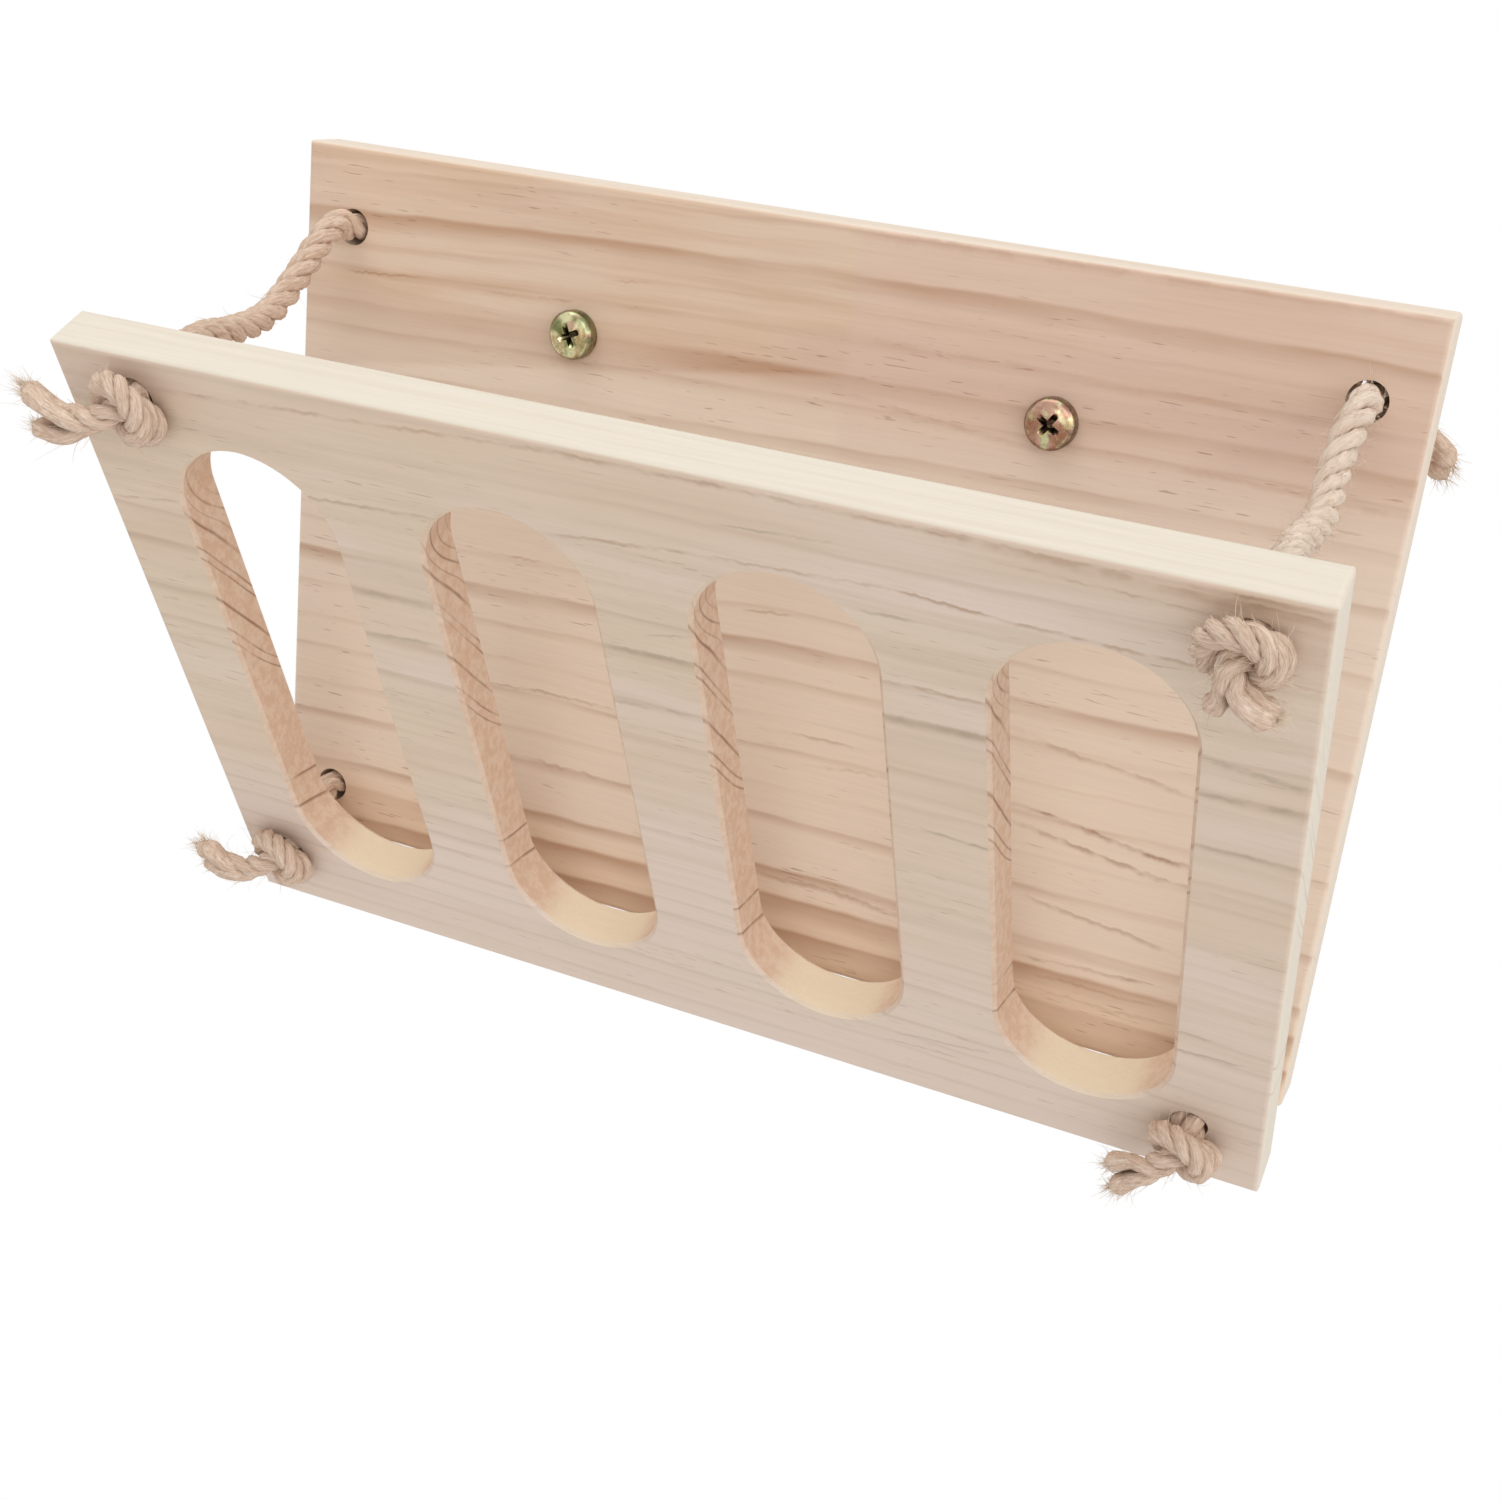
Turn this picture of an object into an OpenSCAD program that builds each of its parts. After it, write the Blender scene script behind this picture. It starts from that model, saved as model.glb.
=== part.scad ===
// Wooden hay rack for small pets.
// Two pine boards are tied together at their corners with knotted rope.
// The back board is screwed to the wires of a cage, and the slotted front board leans away from it.
// Origin: midway between the two fixing screws, on the rear face of the back board.
// +X points right and -Y towards the viewer, seen from the front, and +Z points up.

/* [Boards] */
// Width of both boards
board_w = 250; // [246:1:290]
// Height of the back board
back_h = 163.5; // [160:0.5:180]
// Height of the front board
front_h = 162; // [160:1:180]
// Thickness of the back board
back_t = 11; // [9:0.5:12]
// Thickness of the front board
front_t = 11; // [9:0.5:14]
// Radius of the eased edges
edge_r = 1.2; // [0.6:0.1:2]

/* [Slots] */
// Number of slots in the front board
slot_count = 4; // [2:1:4]
// Width of a slot
slot_w = 36.8; // [24:0.2:37]
// Length of a slot, end to end
slot_len = 125; // [90:1:126]
// Distance between the centres of two neighbouring slots
slot_pitch = 57.8; // [50:0.2:58]
// Wood left below the slots
slot_rise = 17.5; // [14:0.5:20]
// Width of the bevel round each slot
slot_bevel = 0.8; // [0.4:0.1:1.2]

/* [Rope holes] */
// Diameter of the holes that the ropes pass through
rope_hole_d = 8; // [7.6:0.1:9]
// Distance of the rope holes from the side edges
hole_side = 12.5; // [11:0.5:13]
// Distance of the front board's top left hole from its side edge
top_left_side = 18; // [12:0.5:19]
// Distance of the front board's lower right hole from its side edge
low_right_side = 15.5; // [12:0.5:17]
// Distance of the lower holes of the back board from its lower edge
back_hole_low = 11; // [8:0.5:12]
// Distance of the upper holes of the back board from its upper edge
back_hole_high = 17.5; // [12:0.5:20]
// Distance of the lower holes of the front board from its lower edge
front_hole_low = 17.5; // [14:0.5:20]
// Distance of the upper holes of the front board from its upper edge
front_hole_high = 9.5; // [8:0.5:12]

/* [Lean] */
// Angle between the two boards
lean = 27.5; // [22:0.5:30]
// Distance from the swing line to the face of either board
swing_gap = 4; // [3.6:0.2:6]
// Depth of the swing line below the lower holes of the back board
swing_below = 3.5; // [2:0.5:5]
// Height of the swing line above the lower holes of the front board
swing_above = 1.5; // [0:0.5:3]

/* [Fixing screws] */
// Distance between the two screws
screw_spacing = 108; // [90:1:120]
// Depth of the screws below the upper edge of the back board
screw_drop = 32; // [26:1:45]
// Diameter of a screw's shank
screw_d = 5; // [4:0.5:6]
// Length of a screw below its head
screw_len = 32; // [30:1:45]
// Length of the plain lead at a screw's tip
lead_len = 2; // [1:0.5:3]
// Step from the thread down to the lead, all round
lead_step = 0.2; // [0.1:0.05:0.4]
// Diameter of a screw's head
head_d = 10.6; // [9.6:0.2:12]
// Height of a screw's head
head_h = 3.8; // [3:0.1:4]
// Depth of the cross recess in a screw's head
recess_depth = 2.4; // [1.6:0.1:2.6]
// Room between a shank and its hole in the board, all round
shank_room = 0.25; // [0.15:0.05:0.5]

/* [Washers and wing nuts] */
// Outer diameter of a washer
washer_d = 24; // [18:1:30]
// Thickness of a washer
washer_t = 1.5; // [1:0.1:2]
// Room between a shank and its washer, all round
washer_room = 0.2; // [0.15:0.05:0.4]
// Room between a shank and its wing nut, all round
nut_room = 0.05; // [0.03:0.01:0.09]
// Diameter of a wing nut's hub at its foot
hub_d = 11; // [10:0.5:13]
// Height of a wing nut's hub
hub_h = 7; // [6:0.5:8]
// Width of a wing nut across its wings
wing_span = 26; // [24:1:30]
// Height of a wing nut over its wings
wing_h = 13; // [12:0.5:15]
// Thickness of a wing
wing_t = 2.6; // [2:0.1:3.2]

/* [Rope] */
// Diameter of the rope
rope_d = 6; // [5:0.1:6.4]
// Diameter of the rope where it is drawn tight in a knot
knot_rope_d = 4.4; // [4:0.1:4.8]
// Extra distance between the strands of a knot
strand_room = 0.3; // [0.3:0.05:0.6]
// Diameter of a frayed rope end
tail_d = 8; // [5:0.5:9]
// Sag of the upper ropes between the boards
rope_sag = 5; // [0:0.5:8]
// Room between a knot and the board that it rests on
knot_room = 0.3; // [0.2:0.1:0.6]

/* [Hidden] */
$fn = 64;
cut = 1;

// Colours, as photographed
pine = [0.84, 0.72, 0.58];
pale_pine = [0.87, 0.81, 0.71];
jute = [0.78, 0.69, 0.55];
yellow_zinc = [0.72, 0.70, 0.42];

// Places in the back board, seen from the front
back_top = screw_drop;
back_bottom = back_top - back_h;
hole_x = board_w / 2 - hole_side;
back_low_z = back_bottom + back_hole_low;
back_high_z = back_top - back_hole_high;

// Swing line: the front board turns about it on the slack of the lower ropes
swing_y = -back_t - swing_gap;
swing_z = back_low_z - swing_below;

// Places in the front board, in its own frame: rear face at y = 0, swing line at z = 0
front_bottom = -front_hole_low - swing_above;
front_top = front_bottom + front_h;
front_low_z = front_bottom + front_hole_low;
front_high_z = front_top - front_hole_high;

// Holes of each board, from the top left one to the lower right one: [across, up]
BACK_HOLES = [[-hole_x, back_high_z], [hole_x, back_high_z], [-hole_x, back_low_z], [hole_x, back_low_z]];
FRONT_HOLES = [
    [top_left_side - board_w / 2, front_high_z], [hole_x, front_high_z],
    [-hole_x, front_low_z], [board_w / 2 - low_right_side, front_low_z]
];

// Screw head: rounding of its shoulder, rise of its dome, and the point of the dome next to the crown
head_corner = 1.4;
dome_rise = 0.5;
crown_part = 0.45;
crown_drop = 0.12;
tip_bevel = 0.6;
lead_d = screw_d - 2 * lead_step;

// Cross recess in a screw's head: width of its arms, and reach of the arms at the top and at the foot
recess_w = 1.3;
recess_top_r = 2.9;
recess_foot_r = 0.9;

// Wing nut: taper of its hub, room under its wings, overlap of wings and hub, radius of the round ear
// of a wing as a share of its height, angles at which the wing's edges meet the ear, where each nut stops
hub_taper = 2;
wing_foot = 1.2;
wing_root = 1.6;
ear_part = 0.3;
ear_low = -20;
ear_high = 140;
left_nut_turn = 15;
right_nut_turn = -30;

// The overhand knot, in distances between two of its strands: a loop round a core of two twisted strands.
// knot_ends counts the points at each end of it that run free of the board's face.
knot_core = 0.452;
knot_loop = 1.58;
knot_flare = 1.026;
knot_sharp = 4.95;
knot_rise = 0.566;
knot_turn = 154.5;
knot_start = -2.05;
knot_end = 2.2;
knot_steps = 48;
knot_ends = 6;
stem_steps = 2;
stem_top = 1;
tail_steps = 4;
rope_sides = 8;
gap_parts = 3;

// Long ropes at the top: straight stretch out of a hole, reach of the bends, and steps along the curve
rope_lead = 1.2;
rope_bend = 9;
rope_steps = 3;

// Short ropes at the foot: straight stretch out of a hole, pull of the ends on the curve, as a share
// of its span, and steps along the curve
short_lead = 1;
short_pull = 1.2;
short_steps = 5;

// Every knot: [heading of its tail in the face of the board, tilt towards it, turn about its own axis]
FRONT_KNOTS = [[186, 12, -40], [262, 8, -80], [168, 15, -20], [205, 20, -90]];
BACK_KNOTS = [[205, 15, -85], [-30, 15, -95], [150, 15, -90], [160, 12, -80]];

// Shift of the start of every front knot from its hole: [across, up]
FRONT_SHIFTS = [[1, -1], [-0.8, -0.5], [0, 1], [0, 0]];

// Tail of every knot, from its hole: [across, up, out of the face]
FRONT_TAILS = [
    [[-10, -2, 12], [-18.5, -3, 9.5]],
    [[0.5, -6, 12], [1.5, -10, 11]],
    [[-11, -1, 11.5], [-20, -1, 9.5]],
    [[-7, -5, 12], [-13, -9.5, 11]]
];
BACK_TAILS = [
    [[-9, -5, 11], [-16, -9, 8]],
    [[8, -8, 11], [14, -13, 9]],
    [[-10, 6, 11], [-17, 10, 8]],
    [[-10, 4, 11], [-17, 7, 8]]
];

// ---- Vectors and curves ----

function unit(v) = v / norm(v);

// Point of a Catmull-Rom curve through four points
function spline_point(a, b, c, d, t) =
    (2 * b + (c - a) * t + (2 * a - 5 * b + 4 * c - d) * t * t + (3 * b - a - 3 * c + d) * t * t * t) / 2;

// Smooth curve through the points p, with steps parts between two of them
function spline(p, steps) =
    let (n = len(p) - 1)
    [
        for (i = [0 : n - 1])
            let (before = i == 0 ? 2 * p[0] - p[1] : p[i - 1])
            let (after = i == n - 1 ? 2 * p[n] - p[n - 1] : p[i + 2])
            for (k = [0 : steps - 1])
                spline_point(before, p[i], p[i + 1], after, k / steps),
        p[n]
    ];

function tangent(p, i) = unit(p[min(i + 1, len(p) - 1)] - p[max(i - 1, 0)]);

// Directions across the curve p that turn no more than the curve does
function carried(p, side, i = 0) =
    let (along = tangent(p, i))
    let (across = unit(side - (side * along) * along))
    i == len(p) - 1 ? [across] : concat([across], carried(p, across, i + 1));

// One solid tube along the points p, with the radii r
module tube(p, r, first_side) {
    side = carried(p, first_side);
    n = len(p);
    rings = [
        for (i = [0 : n - 1])
            let (other = cross(tangent(p, i), side[i]))
            for (k = [0 : rope_sides - 1])
                let (a = 360 * k / rope_sides)
                p[i] + r[i] * (cos(a) * side[i] + sin(a) * other)
    ];
    walls = [
        for (i = [0 : n - 2])
            for (k = [0 : rope_sides - 1])
                let (a = i * rope_sides + k)
                let (b = i * rope_sides + (k + 1) % rope_sides)
                for (face = [[a, b + rope_sides, b], [a, a + rope_sides, b + rope_sides]])
                    face
    ];
    last = (n - 1) * rope_sides;
    first_end = [for (k = [1 : rope_sides - 2]) [0, k, k + 1]];
    last_end = [for (k = [1 : rope_sides - 2]) [last, last + k + 1, last + k]];
    polyhedron(rings, concat(walls, first_end, last_end));
}

// Values of p, and others spread evenly between them, each step cut in parts
function finer(p, parts) =
    [for (i = [0 : len(p) - 2]) for (k = [0 : parts - 1]) p[i] + (p[i + 1] - p[i]) * k / parts];

// Length along p up to each of its points
function lengths(p) =
    [for (i = 0, s = 0; i < len(p); s = s + (i + 1 < len(p) ? norm(p[i + 1] - p[i]) : 0), i = i + 1) s];

// Least gap to itself of a tube along p with the radii r, where it comes back past itself
function least_gap(p, r) =
    let (s = lengths(p))
    let (n = len(p) - 1)
    min([
        for (i = [0 : n - 1])
            for (j = [i + 1 : n])
                if (s[j] - s[i] > 2 * (r[i] + r[j]))
                    norm(p[j] - p[i]) - r[i] - r[j]
    ]);

// ---- Boards ----

module rounded_plate(w, h, r) {
    translate([-w / 2 + r, -h / 2])
        square([w - 2 * r, h]);
    translate([-w / 2, -h / 2 + r])
        square([w, h - 2 * r]);
    for (x = [-w / 2 + r, w / 2 - r])
        for (y = [-h / 2 + r, h / 2 - r])
            translate([x, y])
                circle(r, $fn = 32);
}

// Board of height h with all its edges eased, centred on the origin in x and z, rear face at y = 0
module blank(h, t) {
    translate([0, -t / 2, 0])
        intersection() {
            rotate([90, 0, 0])
                linear_extrude(2 * t, center = true)
                    rounded_plate(board_w, h, edge_r);
            rotate([0, 90, 0])
                linear_extrude(2 * board_w, center = true)
                    rounded_plate(h, t, edge_r);
            linear_extrude(2 * h, center = true)
                rounded_plate(board_w, t, edge_r);
        }
}

// Hole along y, from behind the rear face at y = 0 to before the front face
module hole(x, z, d, t) {
    translate([x, cut, z])
        rotate([90, 0, 0])
            cylinder(h = t + 2 * cut, d = d);
}

// Profile across half a slot: straight walls, widened by a bevel at both faces
module slot_profile(half, t) {
    polygon([
        [0, cut], [half + slot_bevel + cut, cut], [half, -slot_bevel],
        [half, slot_bevel - t], [half + slot_bevel + cut, -t - cut], [0, -t - cut]
    ]);
}

// Slot with two round ends, running up the board, its lower end at z = 0
module slot(t) {
    half = slot_w / 2;
    straight = slot_len - slot_w;
    for (z = [half, half + straight])
        translate([0, 0, z])
            slot_end(half, t);
    for (side = [0, 1])
        translate([0, 0, half])
            mirror([side, 0, 0])
                linear_extrude(straight)
                    slot_profile(half, t);
}

// Round end of a slot: its profile turned about the y axis
module slot_end(half, t) {
    rotate([-90, 0, 0])
        rotate_extrude()
            slot_profile(half, t);
}

module back_board() {
    color(pine)
        difference() {
            translate([0, 0, (back_top + back_bottom) / 2])
                blank(back_h, back_t);
            for (place = BACK_HOLES)
                hole(place[0], place[1], rope_hole_d, back_t);
            for (x = [-screw_spacing / 2, screw_spacing / 2])
                hole(x, 0, screw_d + 2 * shank_room, back_t);
        }
}

// Carries what is drawn in the front board's own frame to its leaning place
module on_front() {
    translate([0, swing_y, swing_z])
        rotate([lean, 0, 0])
            translate([0, -swing_gap, 0])
                children();
}

module front_board() {
    first_slot = -slot_pitch * (slot_count - 1) / 2;
    color(pale_pine)
        on_front()
            difference() {
                translate([0, 0, (front_top + front_bottom) / 2])
                    blank(front_h, front_t);
                for (i = [0 : slot_count - 1])
                    translate([first_slot + i * slot_pitch, 0, front_bottom + slot_rise])
                        slot(front_t);
                for (place = FRONT_HOLES)
                    hole(place[0], place[1], rope_hole_d, front_t);
            }
}

// ---- Fixings ----

// Pan head with a cross recess and a shank with a plain lead at its tip, pointing along y
module screw(x) {
    color(yellow_zinc)
        translate([x, -back_t, 0])
            rotate([90, 0, 0])
                difference() {
                    union() {
                        rotate_extrude()
                            pan_profile();
                        translate([0, 0, lead_len - screw_len])
                            cylinder(h = screw_len - lead_len + head_corner, d = screw_d);
                        translate([0, 0, tip_bevel - screw_len])
                            cylinder(h = lead_len - tip_bevel, d = lead_d);
                        translate([0, 0, -screw_len])
                            cylinder(h = tip_bevel, d1 = lead_d - 2 * tip_bevel, d2 = lead_d);
                    }
                    cross_recess();
                }
}

// Half section of a pan head: a low dome with a round shoulder
module pan_profile() {
    r = head_d / 2;
    rim = head_h - dome_rise;
    square([r - head_corner, rim]);
    square([r, rim - head_corner]);
    translate([r - head_corner, rim - head_corner])
        circle(head_corner, $fn = 32);
    polygon([[0, 0], [r - head_corner, rim], [r * crown_part, head_h - crown_drop], [0, head_h]]);
}

module cross_recess() {
    intersection() {
        for (a = [45, 135])
            rotate([0, 0, a])
                translate([-recess_top_r, -recess_w / 2, head_h - recess_depth])
                    cube([2 * recess_top_r, recess_w, recess_depth + cut]);
        translate([0, 0, head_h - recess_depth])
            cylinder(h = recess_depth + cut, r1 = recess_foot_r, r2 = recess_top_r + recess_w / 2);
    }
}

module washer(x) {
    color(yellow_zinc)
        translate([x, 0, 0])
            rotate([-90, 0, 0])
                difference() {
                    cylinder(h = washer_t, d = washer_d);
                    translate([0, 0, -cut])
                        cylinder(h = washer_t + 2 * cut, d = screw_d + 2 * washer_room);
                }
}

// Wing nut on its washer, turned by the angle turn
module wing_nut(x, turn) {
    color(yellow_zinc)
        translate([x, washer_t, 0])
            rotate([-90, turn, 0])
                difference() {
                    union() {
                        cylinder(h = hub_h, d1 = hub_d, d2 = hub_d - hub_taper);
                        for (side = [0, 1])
                            mirror([side, 0, 0])
                                wing();
                    }
                    translate([0, 0, -cut])
                        cylinder(h = wing_h, d = screw_d + 2 * nut_room);
                }
}

// One wing: a rounded ear that rises outwards from the hub
module wing() {
    ear_r = wing_h * ear_part;
    ear_x = wing_span / 2 - ear_r;
    ear_z = wing_h - ear_r;
    inner = hub_d / 2 - wing_root;
    rotate([90, 0, 0])
        linear_extrude(wing_t, center = true) {
            translate([ear_x, ear_z])
                circle(ear_r, $fn = 48);
            polygon([
                [inner, wing_foot], [hub_d / 2 + wing_root / 2, wing_foot],
                [ear_x + ear_r * cos(ear_low), ear_z + ear_r * sin(ear_low)],
                [ear_x + ear_r * cos(ear_high), ear_z + ear_r * sin(ear_high)],
                [inner, hub_h - wing_root / 2]
            ]);
        }
}

// ---- Ropes ----

// Point of the knot at t, from its centre, turned about its own axis
function knot_point(t, turn) =
    let (rho = knot_core + (knot_loop - knot_core) / (1 + pow(abs(t) / knot_flare, knot_sharp)))
    let (phi = knot_turn * t + turn)
    (knot_rope_d + strand_room) * [rho * cos(phi), rho * sin(phi), knot_rise * (t * t * t - 3 * t) / 2];

// Axes of a knot that leans by tilt towards heading, in the frame [across, up, out of the face]
function knot_axes(heading, tilt) = [
    [cos(tilt) * cos(heading), cos(tilt) * sin(heading), -sin(tilt)],
    [-sin(heading), cos(heading), 0],
    [sin(tilt) * cos(heading), sin(tilt) * sin(heading), cos(tilt)]
];

// Points of the knot itself, from its own centre
function knot_points(knot) =
    let (axes = knot_axes(knot[0], knot[1]))
    [
        for (i = [0 : knot_steps])
            let (p = knot_point(knot_start + (knot_end - knot_start) * i / knot_steps, knot[2]))
            p[0] * axes[0] + p[1] * axes[1] + p[2] * axes[2]
    ];

// Centre of a knot that starts over the place shift from its hole and just clears the face
function knot_centre(points, shift) =
    let (loops = [for (i = [knot_ends : knot_steps - knot_ends]) points[i][2]])
    [shift[0] - points[0][0], shift[1] - points[0][1], knot_rope_d / 2 + knot_room - min(loops)];

// Whole knot with its stem through the board and its tail, from the hole's centre on the face
module knotted_end(knot, shift, tail, t) {
    centred = knot_points(knot);
    centre = knot_centre(centred, shift);
    points = [for (p = centred) centre + p];
    stem = spline([[0, 0, -t], [0, 0, -t / 2], [0, 0, -stem_top], points[0]], stem_steps);
    stem_rings = len(stem) - 1;
    stem_wide = stem_rings - stem_steps;
    end = spline(concat([points[knot_steps - 1], points[knot_steps]], tail), tail_steps);
    tail_rings = len(end) - 1 - tail_steps;
    route = concat(
        [for (i = [0 : stem_rings - 1]) stem[i]],
        points,
        [for (i = [1 : tail_rings]) end[tail_steps + i]]
    );
    radii = concat(
        [for (i = [0 : stem_rings - 1]) i <= stem_wide ? rope_d / 2 : (rope_d + knot_rope_d) / 4],
        [for (p = points) knot_rope_d / 2],
        [for (i = [1 : tail_rings]) knot_rope_d / 2 + (tail_d - knot_rope_d) / 2 * pow(i / tail_rings, 2)]
    );
    echo(least_gap = least_gap(finer(route, gap_parts), finer(radii, gap_parts)));
    tube(route, radii, [1, 0, 0]);
}

module front_knot(i) {
    color(jute)
        on_front()
            translate([FRONT_HOLES[i][0], -front_t, FRONT_HOLES[i][1]])
                rotate([90, 0, 0])
                    knotted_end(FRONT_KNOTS[i], FRONT_SHIFTS[i], FRONT_TAILS[i], front_t);
}

// Knot behind the back board: across still runs to the right as seen from the front
module back_knot(i) {
    color(jute)
        translate([BACK_HOLES[i][0], 0, BACK_HOLES[i][1]])
            mirror([0, 1, 0])
                rotate([90, 0, 0])
                    knotted_end(BACK_KNOTS[i], [0, 0], BACK_TAILS[i], back_t);
}

// Place in the whole rack of a point in the front board's own frame
function from_front(p) =
    let (y = p[1] - swing_gap)
    [p[0], swing_y + y * cos(lean) - p[2] * sin(lean), swing_z + y * sin(lean) + p[2] * cos(lean)];

// Place before a hole of the back board, at the distance y from its face
function at_back(i, y) = [BACK_HOLES[i][0], -back_t - y, BACK_HOLES[i][1]];

// Place behind a hole of the front board, at the distance y from its rear face
function at_front(i, y) = from_front([FRONT_HOLES[i][0], y, FRONT_HOLES[i][1]]);

// Rope along the curve, from a hole in the back board to one in the front board
module rope(i, curve) {
    route = concat([at_back(i, 0)], curve, [at_front(i, 0)]);
    color(jute)
        tube(route, [for (p = route) rope_d / 2], [1, 0, 0]);
}

// Rope that sags between the boards, square to both at its ends
module long_rope(i) {
    middle = (at_back(i, 0) + at_front(i, 0)) / 2 - [0, 0, rope_sag];
    points = [
        at_back(i, rope_lead), at_back(i, rope_bend), middle,
        at_front(i, rope_bend), at_front(i, rope_lead)
    ];
    rope(i, spline(points, rope_steps));
}

// Rope between boards that nearly touch: one even bend, square to both boards at its ends
module short_rope(i) {
    from = at_back(i, short_lead);
    to = at_front(i, short_lead);
    pull = short_pull * norm(to - from);
    leave = pull * unit(from - at_back(i, 0));
    arrive = pull * unit(at_front(i, 0) - to);
    curve = [
        for (k = [0 : short_steps])
            let (t = k / short_steps)
            let (late = t * t * (3 - 2 * t))
            (1 - late) * from + late * to + t * (1 - t) * ((1 - t) * leave - t * arrive)
    ];
    rope(i, curve);
}

module left_screw() { screw(-screw_spacing / 2); }
module right_screw() { screw(screw_spacing / 2); }
module left_washer() { washer(-screw_spacing / 2); }
module right_washer() { washer(screw_spacing / 2); }
module left_wing_nut() { wing_nut(-screw_spacing / 2, left_nut_turn); }
module right_wing_nut() { wing_nut(screw_spacing / 2, right_nut_turn); }

module top_left_rope() { long_rope(0); }
module top_right_rope() { long_rope(1); }
module bottom_left_rope() { short_rope(2); }
module bottom_right_rope() { short_rope(3); }

module top_left_front_knot() { front_knot(0); }
module top_right_front_knot() { front_knot(1); }
module bottom_left_front_knot() { front_knot(2); }
module bottom_right_front_knot() { front_knot(3); }
module top_left_back_knot() { back_knot(0); }
module top_right_back_knot() { back_knot(1); }
module bottom_left_back_knot() { back_knot(2); }
module bottom_right_back_knot() { back_knot(3); }

back_board();
front_board();
left_screw();
right_screw();
left_washer();
right_washer();
left_wing_nut();
right_wing_nut();
top_left_rope();
top_right_rope();
bottom_left_rope();
bottom_right_rope();
top_left_front_knot();
top_right_front_knot();
bottom_left_front_knot();
bottom_right_front_knot();
top_left_back_knot();
top_right_back_knot();
bottom_left_back_knot();
bottom_right_back_knot();
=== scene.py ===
"""Looks of the wooden hay rack: pine boards, knotted jute rope and yellow zinc fixings."""
import math
from functools import reduce
from itertools import permutations

import bmesh
import bpy
import numpy as np
from mathutils import Matrix, Vector


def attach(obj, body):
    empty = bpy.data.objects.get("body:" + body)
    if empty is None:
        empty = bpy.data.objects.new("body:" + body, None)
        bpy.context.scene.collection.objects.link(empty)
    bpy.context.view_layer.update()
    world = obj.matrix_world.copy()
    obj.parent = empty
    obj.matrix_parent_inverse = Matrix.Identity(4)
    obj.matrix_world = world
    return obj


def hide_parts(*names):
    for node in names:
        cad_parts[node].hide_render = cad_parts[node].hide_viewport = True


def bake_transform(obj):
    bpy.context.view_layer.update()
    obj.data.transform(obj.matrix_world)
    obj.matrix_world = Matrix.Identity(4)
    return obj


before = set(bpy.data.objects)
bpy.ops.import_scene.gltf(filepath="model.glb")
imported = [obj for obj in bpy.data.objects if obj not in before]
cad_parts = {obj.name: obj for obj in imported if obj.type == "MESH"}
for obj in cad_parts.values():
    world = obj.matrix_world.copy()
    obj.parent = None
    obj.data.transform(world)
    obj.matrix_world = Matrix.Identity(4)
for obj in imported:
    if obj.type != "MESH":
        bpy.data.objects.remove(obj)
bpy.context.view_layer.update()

MM = 0.001
TO_MM = (1 / MM, 1 / MM, 1 / MM)

# ---- Sizes in millimetres, repeated from the part's source ----

BACK_T = 11.0
FRONT_T = 11.0
LEAN = math.radians(27.5)
SWING_GAP = 4.0
SWING_Y = -15.0
SWING_Z = -124.0
BOARD_W = 250.0
# Upper edge of the front board in its own frame
BOARD_TOP = 143.0

# Rope holes, each [across, up]. The front board's are in its own frame, as seen from its swing line.
BACK_HOLES = {
    "top_left": [-112.5, 14.5], "top_right": [112.5, 14.5],
    "bottom_left": [-112.5, -120.5], "bottom_right": [112.5, -120.5],
}
FRONT_HOLES = {
    "top_left": [-107.0, 133.5], "top_right": [112.5, 133.5],
    "bottom_left": [-112.5, -1.5], "bottom_right": [109.5, -1.5],
}

SCREW_X = 54.0
SCREW_LEN = 32.0
LEAD_LEN = 2.0
LEAD_R = 2.3
TIP_BEVEL = 0.6
THREAD_CORE_R = 2.05
THREAD_R = 2.48
THREAD_PITCH = 0.8
HEAD_R = 5.3
HEAD_H = 3.8
HEAD_CORNER = 1.4
HEAD_SIDES = 96
DOME_RISE = 0.5
RECESS_DEPTH = 2.4
RECESS_W = 1.3
RECESS_TOP_R = 2.9
RECESS_FOOT_R = 0.9

ROPE_D = 6.0
KNOT_ROPE_D = 4.4
KNOT_FULL_D = 5.3
FRONT_STEM_R = 3.7
STRAND_ROOM = 0.3
KNOT_ROOM = 0.3
KNOT_CORE = 0.452
KNOT_LOOP = 1.58
KNOT_FLARE = 1.026
KNOT_SHARP = 4.95
KNOT_RISE = 0.566
KNOT_TURN = 154.5
KNOT_START = -2.05
KNOT_END = 2.2
KNOT_STEPS = 48
KNOT_ENDS = 6
STEM_TOP = 1.0
TAIL_SWELL = 1.0
ROPE_LEAD = 1.2
ROPE_BEND = 9.0
ROPE_SAG = 5.0
SHORT_LEAD = 1.0
SHORT_PULL = 1.2
SHORT_STEPS = 30

# ---- Small helpers for shader nodes ----


def srgb(red, green, blue):
    """A colour written in 0..255 display values, as linear RGBA."""
    out = []
    for value in (red, green, blue):
        c = value / 255
        out.append(c / 12.92 if c <= 0.04045 else ((c + 0.055) / 1.055) ** 2.4)
    return (*out, 1.0)


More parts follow.
